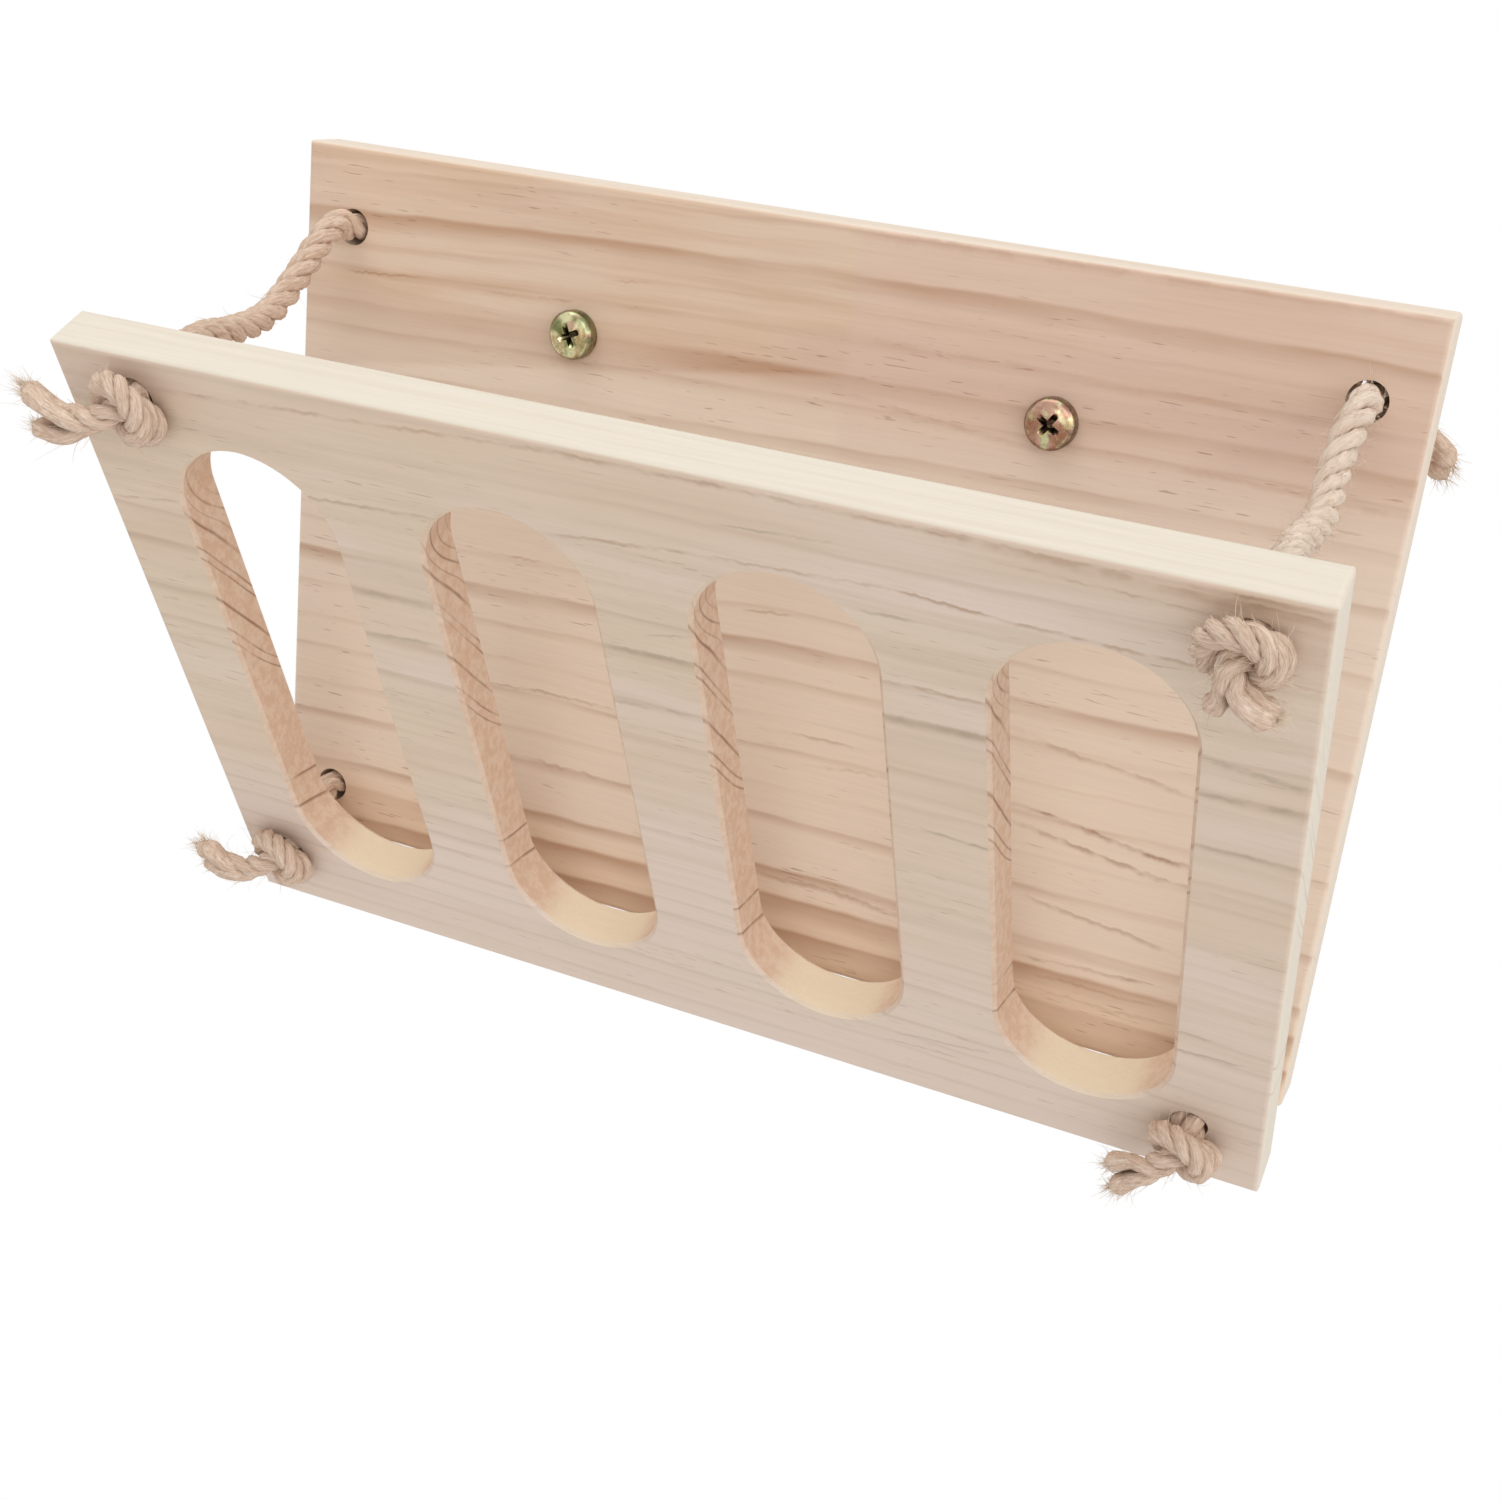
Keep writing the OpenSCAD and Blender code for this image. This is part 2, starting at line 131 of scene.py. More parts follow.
class Nodes:
    """Adds shader nodes to a tree. An argument is an output socket to link, or a plain value to set."""

    # Places of the colours among the sockets of a Mix node
    MIX_A = 6
    MIX_B = 7
    MIX_RESULT = 2

    def __init__(self, owner):
        """Starts with the emptied tree of a material or a world."""
        owner.use_nodes = True
        self.tree = owner.node_tree
        self.tree.nodes.clear()

    def feed(self, socket, value):
        if isinstance(value, bpy.types.NodeSocket):
            self.tree.links.new(value, socket)
        elif value is not None:
            socket.default_value = value

    def feed_all(self, node, values):
        for key, value in values.items():
            self.feed(node.inputs[key], value)

    def add(self, kind, values=None, **settings):
        node = self.tree.nodes.new(kind)
        for key, setting in settings.items():
            setattr(node, key, setting)
        self.feed_all(node, values or {})
        return node

    def math(self, operation, a, b=None, c=None):
        return self.add("ShaderNodeMath", {0: a, 1: b, 2: c}, operation=operation).outputs[0]

    def plus(self, a, b):
        return self.math("ADD", a, b)

    def minus(self, a, b):
        return self.math("SUBTRACT", a, b)

    def times(self, a, b):
        return self.math("MULTIPLY", a, b)

    def greater(self, a, b):
        return self.math("MAXIMUM", a, b)

    def vector(self, operation, a, b):
        return self.add("ShaderNodeVectorMath", {0: a, 1: b}, operation=operation).outputs[0]

    def noise(self, vector, scale, detail=2.0, rough=0.5, distortion=0.0):
        values = {
            "Vector": vector, "Scale": scale, "Detail": detail, "Roughness": rough, "Distortion": distortion,
        }
        return self.add("ShaderNodeTexNoise", values).outputs["Fac"]

    def step(self, value, low, high, out_low=0.0, out_high=1.0):
        values = {"Value": value, "From Min": low, "From Max": high, "To Min": out_low, "To Max": out_high}
        return self.add("ShaderNodeMapRange", values, interpolation_type="SMOOTHSTEP").outputs[0]

    def ramp(self, value, stops):
        node = self.add("ShaderNodeValToRGB", {"Fac": value})
        elements = node.color_ramp.elements
        while len(elements) < len(stops):
            elements.new(0.5)
        for element, (place, colour) in zip(elements, stops):
            element.position = place
            element.color = colour if hasattr(colour, "__len__") else (colour, colour, colour, 1.0)
        return node.outputs["Color"]

    def mix(self, share, a, b, blend="MIX"):
        node = self.add("ShaderNodeMix", {"Factor": share}, data_type="RGBA", blend_type=blend)
        self.feed(node.inputs[self.MIX_A], a)
        self.feed(node.inputs[self.MIX_B], b)
        return node.outputs[self.MIX_RESULT]

    def combine(self, x, y, z):
        return self.add("ShaderNodeCombineXYZ", {0: x, 1: y, 2: z}).outputs[0]

    def separate(self, vector):
        return self.add("ShaderNodeSeparateXYZ", {0: vector}).outputs

    def bump(self, height, distance, strength):
        values = {"Height": height, "Distance": distance, "Strength": strength}
        return self.add("ShaderNodeBump", values).outputs["Normal"]


def new_object(name, data):
    obj = bpy.data.objects.new(name, data)
    bpy.context.scene.collection.objects.link(obj)
    return obj


def new_material(name):
    material = bpy.data.materials.new(name)
    nodes = Nodes(material)
    shader = nodes.add("ShaderNodeBsdfPrincipled")
    nodes.add("ShaderNodeOutputMaterial", {"Surface": shader.outputs["BSDF"]})
    return material, nodes, shader


# ---- Pine ----

# A colour ramp holds 32 stops, and a latewood line takes three
LINES_IN_RAMP = 10
LEAST_STOP = 0.001
MARK_FRAY = 1.2
MARK_FADE = 9.0


def board_point(nodes, leaning):
    """Place on a board in mm: x along it, y from its rear face (0) to its front face (-11), z up it."""
    place = nodes.add("ShaderNodeTexCoord").outputs["Object"]
    turn = Matrix.Rotation(-LEAN, 3, "X") if leaning else Matrix.Identity(3)
    start = Vector((0.0, SWING_Y, SWING_Z)) if leaning else Vector()
    gap = Vector((0.0, SWING_GAP, 0.0)) if leaning else Vector()
    values = {
        "Vector": place,
        "Location": gap - turn @ start,
        "Rotation": turn.to_euler(),
        "Scale": TO_MM,
    }
    return nodes.add("ShaderNodeMapping", values, vector_type="POINT").outputs[0]


def grain(nodes, point, scales, detail=2.0, rough=0.5):
    """Noise stretched along the board. scales are per mm along the board, through it and up it."""
    return nodes.noise(nodes.vector("MULTIPLY", point, scales), 1.0, detail, rough)


def swung(nodes, point, amount, x, z, detail=2.0):
    """Noise between -amount / 2 and amount / 2, with its scales along the board and up it."""
    return nodes.math("MULTIPLY_ADD", grain(nodes, point, (x, 0.6 * z, z), detail), amount, -amount / 2)


def ring_height(nodes, point, look):
    """Height at which the growth ring through a point meets the front face. Rings drop towards the rear."""
    x, y, z = nodes.separate(point)
    rise_left = nodes.times(nodes.math("MINIMUM", x, 0.0), -look["rise_left"])
    rise_right = nodes.times(nodes.greater(x, 0.0), -look["rise_right"])
    up = nodes.plus(z, nodes.plus(rise_left, rise_right))
    up = nodes.plus(up, swung(nodes, point, look["sway"], 0.012, 0.012))
    up = nodes.plus(up, swung(nodes, point, look["waver"], 0.07, 0.10))
    drop = reduce(nodes.plus, [nodes.step(z, *row) for row in look["drops"]])
    behind_face = nodes.plus(y, look["thickness"])
    return nodes.math("MULTIPLY_ADD", behind_face, drop, up)


def ring_lines(nodes, height, rows):
    """Dark latewood lines. Every row is [height, fade above, fade below, strength], from the lowest up."""
    parts = []
    for first in range(0, len(rows), LINES_IN_RAMP):
        part = rows[first:first + LINES_IN_RAMP]
        low = part[0][0] - part[0][2] - 1.0
        high = part[-1][0] + part[-1][1] + 1.0
        share = nodes.add("ShaderNodeMapRange", {"Value": height, "From Min": low, "From Max": high})
        stops = []
        for z, above, below, strength in part:
            foot = (z - below - low) / (high - low)
            if stops:
                foot = max(foot, stops[-1][0] + LEAST_STOP)
            stops.append((foot, 0.0))
            stops.append(((z - low) / (high - low), strength))
            stops.append(((z + above - low) / (high - low), 0.0))
        parts.append(nodes.ramp(share.outputs[0], stops))
    return reduce(nodes.greater, parts)


def marks(nodes, point, rows, wave):
    """Marks at places of their own, each [x from, z from, x to, z to, fade above, fade below, strength]."""
    x, _, z = nodes.separate(point)
    up = nodes.plus(z, swung(nodes, point, wave, 0.045, 0.05, 3.0))
    up = nodes.plus(up, swung(nodes, point, MARK_FRAY, 0.5, 0.3, 1.0))
    broken = nodes.step(grain(nodes, point, (0.16, 0.3, 0.3)), 0.34, 0.62, 0.25, 1.0)
    parts = []
    for x_from, z_from, x_to, z_to, above, below, strength in rows:
        slope = (z_to - z_from) / (x_to - x_from)
        off = nodes.minus(up, nodes.math("MULTIPLY_ADD", x, slope, z_from - slope * x_from))
        upper = nodes.step(off, 0.0, above, strength, 0.0)
        lower = nodes.step(off, -below, 0.0, 0.0, strength)
        band = nodes.math("MINIMUM", upper, lower)
        fade = min(MARK_FADE, 0.2 * (x_to - x_from))
        begins = nodes.step(x, x_from - fade, x_from + fade)
        ends = nodes.step(x, x_to - fade, x_to + fade, 1.0, 0.0)
        parts.append(nodes.times(band, nodes.times(begins, ends)))
    return nodes.times(reduce(nodes.greater, parts), broken)


def flame(nodes, point, tip_x, tip_z, rise, spread):
    """Dark wood that ends in a point at the tip, towards +X."""
    x, _, z = nodes.separate(point)
    behind = nodes.minus(tip_x, nodes.plus(x, swung(nodes, point, 6.0, 0.05, 0.4)))
    middle = nodes.math("MULTIPLY_ADD", behind, -rise, tip_z)
    off = nodes.math("ABSOLUTE", nodes.minus(z, middle))
    inside = nodes.minus(off, nodes.times(behind, spread))
    inside = nodes.step(inside, -1.6, 0.4, 1.0, 0.0)
    return nodes.times(inside, nodes.step(behind, 10.0, 60.0, 1.0, 0.25))


def toned_below(nodes, z, colour, tone, z_from, z_to, share):
    """The colour with a share of the tone up to z_from, which fades out at z_to."""
    return nodes.mix(nodes.step(z, z_from, z_to, share, 0.0), colour, tone)


def face_colour(nodes, point, late, bands, look):
    """The board's face: drifting tones, single marks, latewood lines and short dark pores."""
    x, _, z = nodes.separate(point)
    drift = grain(nodes, point, (0.010, 0.03, 0.035), 3.0, 0.55)
    tint = grain(nodes, point, (0.013, 0.05, 0.05))
    late_tone, late_share = look["late"]
    tint_tone, tint_share = look["tint"]
    band_tone, band_share = look["band"]
    dash_tone, dash_share = look["dash"]
    colour = nodes.mix(nodes.step(drift, 0.35, 0.65), look["pale"], look["warm"])
    colour = nodes.mix(nodes.step(tint, 0.48, 0.68, 0.0, tint_share), colour, tint_tone)
    colour = nodes.mix(nodes.step(bands, 0.42, 0.68, 0.0, band_share), colour, band_tone)
    # low and foot are paler tones low on the board. On the back board, foot is painted light that cancels the
    # shade between the boards, and low is partly painted light there.
    colour = toned_below(nodes, z, colour, *look["low"])
    for rows, wave, tone in look["marks"]:
        colour = nodes.mix(marks(nodes, point, rows, wave), colour, tone)
    if "foot" in look:
        colour = toned_below(nodes, z, colour, *look["foot"])
    if "flame" in look:
        seam_tone, seam_x = look["seam"]
        beyond = nodes.step(x, seam_x - 1.5, seam_x + 1.5, 0.0, 0.45)
        colour = nodes.mix(nodes.times(beyond, nodes.step(z, -30.0, 5.0)), colour, seam_tone)
        colour = nodes.mix(nodes.times(flame(nodes, point, *look["flame"]), 0.75), colour, late_tone)
    colour = nodes.mix(nodes.times(late, late_share), colour, late_tone)
    pores = grain(nodes, point, (0.16, 1.3, 2.1), 1.0)
    where = grain(nodes, point, (0.014, 0.03, 0.05))
    dashes = nodes.times(nodes.step(pores, 0.68, 0.75), nodes.step(where, 0.42, 0.60))
    return nodes.mix(nodes.times(dashes, dash_share), colour, dash_tone)


def edge_colour(nodes, point, late, bands, look):
    """Upper and lower edges of the board. In the front board, the ends of the slots too."""
    edge = nodes.mix(nodes.times(late, 0.35), look["edge"], look["late"][0])
    edge = nodes.mix(nodes.step(bands, 0.45, 0.7, 0.0, 0.5), edge, look["edge_band"])
    if look["leaning"]:
        z = nodes.separate(point)[2]
        edge = nodes.mix(nodes.step(z, BOARD_TOP - 12.0, BOARD_TOP - 4.0), look["slot_end"], edge)
    return edge


def wall_colour(nodes, point, height, look):
    """End grain: the sides of the board and the walls of its slots, with the rings cut across. The outer
    sides get the paler edge colour as painted light, and the warmer slot walls are partly painted shade.
    """
    x = nodes.separate(point)[0]
    lit_outer_ends = nodes.step(nodes.math("ABSOLUTE", x), BOARD_W / 2 - 2.0, BOARD_W / 2 - 1.0)
    thin = ring_lines(nodes, height, look["end_lines"])
    broken = nodes.step(grain(nodes, point, (0.05, 0.12, 0.05)), 0.32, 0.6, 0.25, 1.0)
    thin = nodes.times(thin, broken)
    mottle = grain(nodes, point, (0.1, 0.5, 0.4), 4.0, 0.65)
    wall = nodes.mix(nodes.step(mottle, 0.38, 0.62), look["wall"], look["wall_band"])
    # Painted light: the outer ends take the paler edge colour, as if lit more than the slot walls.
    wall = nodes.mix(lit_outer_ends, wall, look["edge"])
    thin = nodes.times(thin, nodes.step(lit_outer_ends, 0.0, 1.0, 0.95, 0.35))
    return nodes.mix(thin, wall, look["wall_line"])


def pine(name, look):
    """Planed, unfinished pine. look says where its rings, lines and marks run and which colours they have."""
    material, nodes, shader = new_material(name)
    point = board_point(nodes, look["leaning"])
    x = nodes.separate(point)[0]
    height = ring_height(nodes, point, look)
    patch = nodes.step(grain(nodes, point, (0.022, 0.05, 0.13)), 0.3, 0.62, 0.35, 1.0)
    late = nodes.times(ring_lines(nodes, height, look["lines"]), patch)
    banded = nodes.combine(nodes.times(x, 0.008), 0.0, nodes.times(height, 0.22))
    bands = nodes.noise(banded, 1.0, 3.0, 0.6)
    fibre = grain(nodes, point, (0.05, 1.6, 1.9), 4.0, 0.65)

    normal = nodes.add("ShaderNodeTexCoord").outputs["Normal"]
    lean = LEAN if look["leaning"] else 0.0
    up_axis = (0.0, -math.sin(lean), math.cos(lean))
    along_up = nodes.add("ShaderNodeVectorMath", {0: normal, 1: up_axis}, operation="DOT_PRODUCT")
    faces_up = nodes.step(nodes.math("ABSOLUTE", along_up.outputs["Value"]), 0.45, 0.85)
    faces_across = nodes.step(nodes.math("ABSOLUTE", nodes.separate(normal)[0]), 0.45, 0.85)
    colour = face_colour(nodes, point, late, bands, look)
    colour = nodes.mix(faces_up, colour, edge_colour(nodes, point, late, bands, look))
    colour = nodes.mix(faces_across, colour, wall_colour(nodes, point, height, look))

    shade = nodes.math("MULTIPLY_ADD", fibre, 0.16, 0.92)
    colour = nodes.mix(1.0, colour, nodes.combine(shade, shade, shade), "MULTIPLY")
    nodes.feed_all(shader, {
        "Base Color": colour,
        "Roughness": nodes.math("MULTIPLY_ADD", fibre, 0.16, 0.56),
        "Specular IOR Level": 0.25,
        "Normal": nodes.bump(nodes.math("MULTIPLY_ADD", late, 0.4, fibre), 0.06 * MM, 0.6),
    })
    return material


# Looks of the two boards, in millimetres in the board's own frame. drops says how far the rings drop per mm
# of depth, in rows of [z from, z to, drop below, drop above] that add up. sway and waver bend the rings, and
# rise_left and rise_right tilt them. tint, band, late and dash are [tone, share], low and foot [tone, z up to
# which it is full, z at which it ends, share], and seam [tone, x].
BACK_LOOK = {
    "leaning": False, "thickness": BACK_T,
    "drops": [[-130, 32, 0.5, 1.4]], "rise_left": 0.033, "rise_right": 0.008, "sway": 5.0, "waver": 1.1,
    "pale": srgb(227, 203, 180), "warm": srgb(221, 192, 166),
    "tint": [srgb(218, 190, 174), 0.6], "band": [srgb(207, 173, 144), 0.55],
    "late": [srgb(180, 136, 104), 0.9], "dash": [srgb(158, 118, 98), 0.55],
    # low and foot on the back board: paler wood low down, foot wholly and low partly painted light against
    # the shade between the boards.
    "low": [srgb(237, 219, 200), -12.0, 4.0, 0.85], "foot": [srgb(238, 209, 179), -128.0, -106.0, 0.75],
    "flame": [16.0, 2.1, 0.07, 0.075], "seam": [srgb(224, 196, 180), 9.0],
    "edge": srgb(232, 216, 198), "edge_band": srgb(222, 198, 174),
    "wall": srgb(236, 222, 208), "wall_band": srgb(226, 206, 188), "wall_line": srgb(188, 156, 132),
    "lines": [
        [-124.5, 0.8, 4.0, 0.8], [-117.0, 0.9, 5.0, 0.9], [-110.5, 0.7, 2.6, 0.75], [-98.5, 0.6, 2.2, 0.55],
        [-91.0, 0.5, 1.5, 0.2], [-82.0, 0.5, 1.5, 0.5], [-74.5, 0.5, 1.2, 0.25], [-66.0, 0.6, 2.0, 0.3],
        [-58.0, 0.7, 3.6, 0.75], [-50.5, 0.4, 1.2, 0.3], [-38.0, 0.6, 3.0, 0.45], [-24.0, 0.6, 3.0, 0.4],
        [-13.0, 0.6, 2.5, 0.4], [-4.0, 0.6, 2.0, 0.35], [1.4, 0.9, 3.6, 0.4], [9.2, 0.5, 1.8, 0.4],
        [14.8, 0.4, 1.2, 0.2], [21.6, 0.8, 4.2, 0.75], [30.6, 0.6, 1.2, 0.3],
    ],
    "end_lines": [
        [-98.0, 0.3, 0.5, 0.8], [-58.0, 0.3, 0.5, 0.8], [-20.0, 0.3, 0.5, 0.7], [21.6, 0.3, 0.5, 0.8],
    ],
    "marks": [
        [[
            [10, 30.7, 126, 31.6, 0.8, 2.2, 0.55],
            [-113, 4.9, -95, 5.9, 0.35, 0.6, 0.7], [-75, 5.7, -54, 7.1, 0.4, 0.7, 0.5],
            [-47, 12.6, -38, 13.5, 0.4, 0.6, 0.4], [-42, 7.7, -31, 8.2, 0.35, 0.6, 0.4],
            [10, -1.7, 52, -5.8, 0.5, 1.6, 0.4], [60, -3.2, 125, -5.3, 0.5, 1.6, 0.35],
            [14, 10.3, 110, 9.6, 0.5, 1.8, 0.4],
            [-75, -52.8, -58, -52.0, 0.3, 0.7, 0.4], [-7, -52.2, 3, -51.2, 0.3, 0.7, 0.45],
        ], 0.8, srgb(180, 136, 106)],
        [[
            [58, -64.0, 98, -70.0, 0.5, 1.4, 0.35], [56, -80.2, 98, -84.2, 0.5, 1.2, 0.8],
            [58, -84.4, 98, -88.6, 0.5, 1.4, 0.55], [-70, -84.2, -38, -82.4, 0.4, 0.8, 0.4],
            [0, -78.3, 26, -77.2, 0.4, 0.8, 0.35], [12, -83.6, 32, -82.6, 0.4, 0.8, 0.3],
            [66, -100.6, 98, -104.0, 0.5, 1.2, 0.4], [62, -114.5, 93, -112.5, 0.4, 0.8, 0.8],
            [64, -117.5, 96, -117.0, 0.4, 0.8, 0.5], [66, -120.8, 98, -120.2, 0.5, 0.9, 0.5],
            [3, -111.6, 38, -112.3, 0.6, 1.4, 0.5], [-68, -100.6, -33, -99.8, 0.5, 1.0, 0.35],
        ], 4.0, srgb(158, 112, 84)],
    ],
}

FRONT_LOOK = {
    "leaning": True, "thickness": FRONT_T,
    "drops": [[20, 65, 0.4, 1.9], [95, 110, 0.0, 1.6]],
    "rise_left": 0.01, "rise_right": 0.0, "sway": 4.0, "waver": 1.4,
    "pale": srgb(224, 204, 189), "warm": srgb(219, 196, 173),
    "tint": [srgb(219, 201, 178), 0.6], "band": [srgb(206, 185, 162), 0.5],
    "late": [srgb(176, 150, 124), 0.8], "dash": [srgb(160, 134, 114), 0.4],
    "low": [srgb(224, 205, 192), 8.0, 40.0, 0.6],
    "edge": srgb(228, 218, 202), "edge_band": srgb(220, 206, 186),
    # wall and wall_band: the end grain's own warmer tone, and partly painted shade of the slot walls.
    "wall": srgb(223, 197, 175), "wall_band": srgb(214, 181, 155), "wall_line": srgb(130, 84, 56),
    "slot_end": srgb(232, 213, 186),
    "lines": [
        [-12.0, 0.5, 1.4, 0.3], [-5.0, 0.5, 1.2, 0.35], [-0.5, 0.5, 1.2, 0.3], [4.8, 0.5, 1.2, 0.35],
        [10.2, 0.5, 1.2, 0.35], [17.6, 0.5, 1.6, 0.45], [22.6, 0.5, 1.4, 0.4], [27.8, 0.5, 1.2, 0.35],
        [34.5, 0.5, 1.6, 0.2], [45.0, 0.5, 1.6, 0.25], [55.0, 0.5, 1.6, 0.2], [67.0, 0.5, 1.2, 0.35],
        [72.8, 0.7, 1.8, 0.45], [82.4, 0.9, 1.8, 0.5], [95.9, 1.2, 2.4, 0.6], [104.8, 0.5, 1.4, 0.5],
        [112.0, 0.5, 1.4, 0.2], [131.8, 0.5, 1.6, 0.25],
    ],
    "end_lines": [
        [17.2, 0.5, 0.6, 1.0], [25.6, 0.5, 0.6, 0.9], [69.5, 0.6, 0.6, 0.9], [73.5, 0.6, 0.6, 0.8],
        [82.0, 0.9, 0.9, 1.0], [93.5, 0.6, 0.6, 0.9], [96.7, 0.6, 0.6, 1.0], [106.0, 1.2, 1.2, 0.9],
        [112.5, 0.6, 0.6, 0.6], [120.0, 1.2, 1.2, 0.8], [129.0, 1.2, 1.2, 0.5], [140.0, 1.0, 1.0, 0.4],
    ],
    "marks": [
        [[
            [-97, 136.4, -12, 141.3, 0.6, 1.0, 0.55], [-14, 141.3, 124, 141.3, 0.6, 1.0, 0.6],
            [60, 141.9, 124, 139.6, 0.6, 2.6, 0.6], [68, 137.9, 105, 136.4, 0.4, 0.7, 0.5],
            [-18, 121.8, 14, 124.7, 0.5, 0.9, 0.6], [12, 124.6, 52, 127.0, 0.4, 0.8, 0.5],
            [50, 127.0, 78, 125.0, 0.4, 0.9, 0.75], [76, 125.1, 106, 124.8, 0.5, 1.0, 0.65],
            [112, 124.9, 125, 125.5, 0.4, 0.8, 0.8], [-75, 116.8, -43, 118.7, 0.4, 1.0, 0.55],
            [-123, 104.8, -107, 107.0, 0.4, 0.8, 0.5], [49, 104.7, 69, 104.7, 0.5, 0.9, 0.6],
        ], 1.2, srgb(176, 144, 116)],
        [[
            [-67, 94.4, -47, 95.1, 1.0, 1.5, 0.5], [-10, 96.4, 11, 97.0, 0.7, 1.4, 0.6],
            [48, 95.4, 69, 96.4, 1.4, 2.0, 0.65], [105, 95.6, 124, 96.8, 1.0, 1.7, 0.6],
            [105, 105.0, 124, 102.6, 1.0, 1.7, 0.6], [1, 101.8, 11, 103.9, 0.4, 0.6, 0.6],
            [-68, 82.5, -48, 84.2, 0.7, 1.3, 0.5], [55, 67.4, 69, 66.5, 0.4, 0.9, 0.65],
            [-11, 81.2, 6, 82.4, 0.6, 0.9, 0.4], [43, 120.2, 54, 120.5, 0.5, 0.8, 0.5],
            [20, 132.8, 40, 134.3, 0.4, 0.6, 0.55], [107, 82.6, 123, 82.8, 0.7, 1.2, 0.45],
            [104, 22.2, 124, 22.6, 0.5, 0.9, 0.55], [104, 28.3, 116, 27.7, 0.4, 0.7, 0.45],
            [41, -4.2, 58, -3.2, 0.4, 0.8, 0.6], [46, -0.6, 66, 1.8, 0.4, 0.8, 0.4],
        ], 1.2, srgb(166, 150, 132)],
    ],
}


# ---- Yellow zinc ----


def head_shadows(nodes, point, head_x):
    """Where a screw's head is dark: in its recess and at its rim."""
    x, y, z = nodes.separate(point)
    off = nodes.combine(nodes.minus(x, head_x), 0.0, z)
    radius = nodes.add("ShaderNodeVectorMath", {0: off}, operation="LENGTH").outputs["Value"]
    crown = -BACK_T - HEAD_H + DOME_RISE
    below_crown = nodes.step(y, crown + 0.1, crown + 0.7)
    in_head = nodes.step(y, -BACK_T - 0.4, -BACK_T, 1.0, 0.0)
    near_axis = nodes.step(radius, RECESS_TOP_R + 0.1, RECESS_TOP_R + 0.4, 1.0, 0.0)
    recess = nodes.times(nodes.times(below_crown, in_head), near_axis)
    rim = nodes.step(radius, HEAD_R - 1.0, HEAD_R - 0.1, 0.0, 0.55)
    return nodes.greater(nodes.times(recess, 0.9), rim)


def yellow_zinc(name, shift=0.0, rosy=0.15, calm=0.6, head_x=None):
    """Yellow zinc plating: gold with a green and rose cast, whose pale and dark patches partly stand in as
    painted highlights and dark reflections. shift moves its patches, and calm evens them.
    """
    material, nodes, shader = new_material(name)
    point = nodes.vector("MULTIPLY", nodes.add("ShaderNodeTexCoord").outputs["Object"], TO_MM)
    moved = nodes.vector("ADD", point, (shift, 0.0, 0.0))
    cast = nodes.noise(moved, 0.26, 2.0, 0.5, 0.5)
    rose = nodes.noise(moved, 0.42, 2.0, 0.5, 0.3)
    grime = nodes.noise(point, 0.9, 3.0, 0.6)
    # The plating's own green, gold and rose tones. The palest and darkest stops are partly painted highlight
    # and painted dark reflection.
    colour = nodes.ramp(cast, [
        (0.32, srgb(136, 142, 96)),
        (0.46, srgb(204, 204, 158)),
        (0.58, srgb(222, 212, 170)),
        (0.70, srgb(188, 164, 112)),
    ])
    rosy_from = 0.55 - 0.3 * rosy
    colour = nodes.mix(nodes.step(rose, rosy_from, rosy_from + 0.15, 0.0, 0.8), colour, srgb(186, 136, 124))
    colour = nodes.mix(calm, colour, srgb(210, 198, 150))
    colour = nodes.mix(nodes.step(grime, 0.5, 0.72, 0.0, 0.5 - 0.4 * calm), colour, srgb(92, 80, 56))
    if head_x is not None:
        colour = nodes.mix(head_shadows(nodes, point, head_x), colour, srgb(58, 50, 38))
    nodes.feed_all(shader, {
        "Base Color": colour,
        "Metallic": 1.0,
        "Roughness": nodes.step(grime, 0.3, 0.7, 0.22, 0.36),
        "Normal": nodes.bump(grime, 0.03 * MM, 0.5),
    })
    return material


# ---- Jute ----


def strand_uv(nodes):
    """Share of the way round a strand, and millimetres along it."""
    return nodes.separate(nodes.add("ShaderNodeUVMap", uv_map="UVMap").outputs[0])


def jute(name, worn=0.0):
    """Jute strands: fine fibres along each strand, with painted shade in the grooves between the strands.
    worn makes it paler.
    """
    material, nodes, shader = new_material(name)
    uv = strand_uv(nodes)
    angle = nodes.times(uv[0], 2 * math.pi)
    round_x = nodes.math("COSINE", angle)
    round_y = nodes.math("SINE", angle)
    along = nodes.combine(round_x, round_y, nodes.times(uv[1], 0.10))
    fibre = nodes.noise(along, 5.5, 4.0, 0.7)
    patch = nodes.noise(along, 0.9, 3.0, 0.6)
    outer = nodes.add("ShaderNodeAttribute", attribute_name="outer", attribute_type="GEOMETRY")
    colour = nodes.ramp(fibre, [
        (0.25, srgb(168, 134, 112)),
        (0.43, srgb(208, 180, 158)),
        (0.58, srgb(230, 209, 190)),
        (0.75, srgb(246, 232, 216)),
    ])
    colour = nodes.mix(nodes.step(patch, 0.35, 0.7, 0.0, 0.4), colour, srgb(206, 172, 148))
    colour = nodes.mix(worn, colour, srgb(244, 232, 216))
    # Painted shade in the grooves between the strands, where outer is low.
    groove_painted_shade = nodes.step(outer.outputs["Fac"], 0.35, 0.85, 0.8, 0.0)
    colour = nodes.mix(groove_painted_shade, colour, srgb(112, 80, 62))
    nodes.feed_all(shader, {"Base Color": colour, "Roughness": 0.9, "Specular IOR Level": 0.15})
    nodes.feed(shader.inputs["Normal"], nodes.bump(fibre, 0.25 * MM, 0.8))
    return material


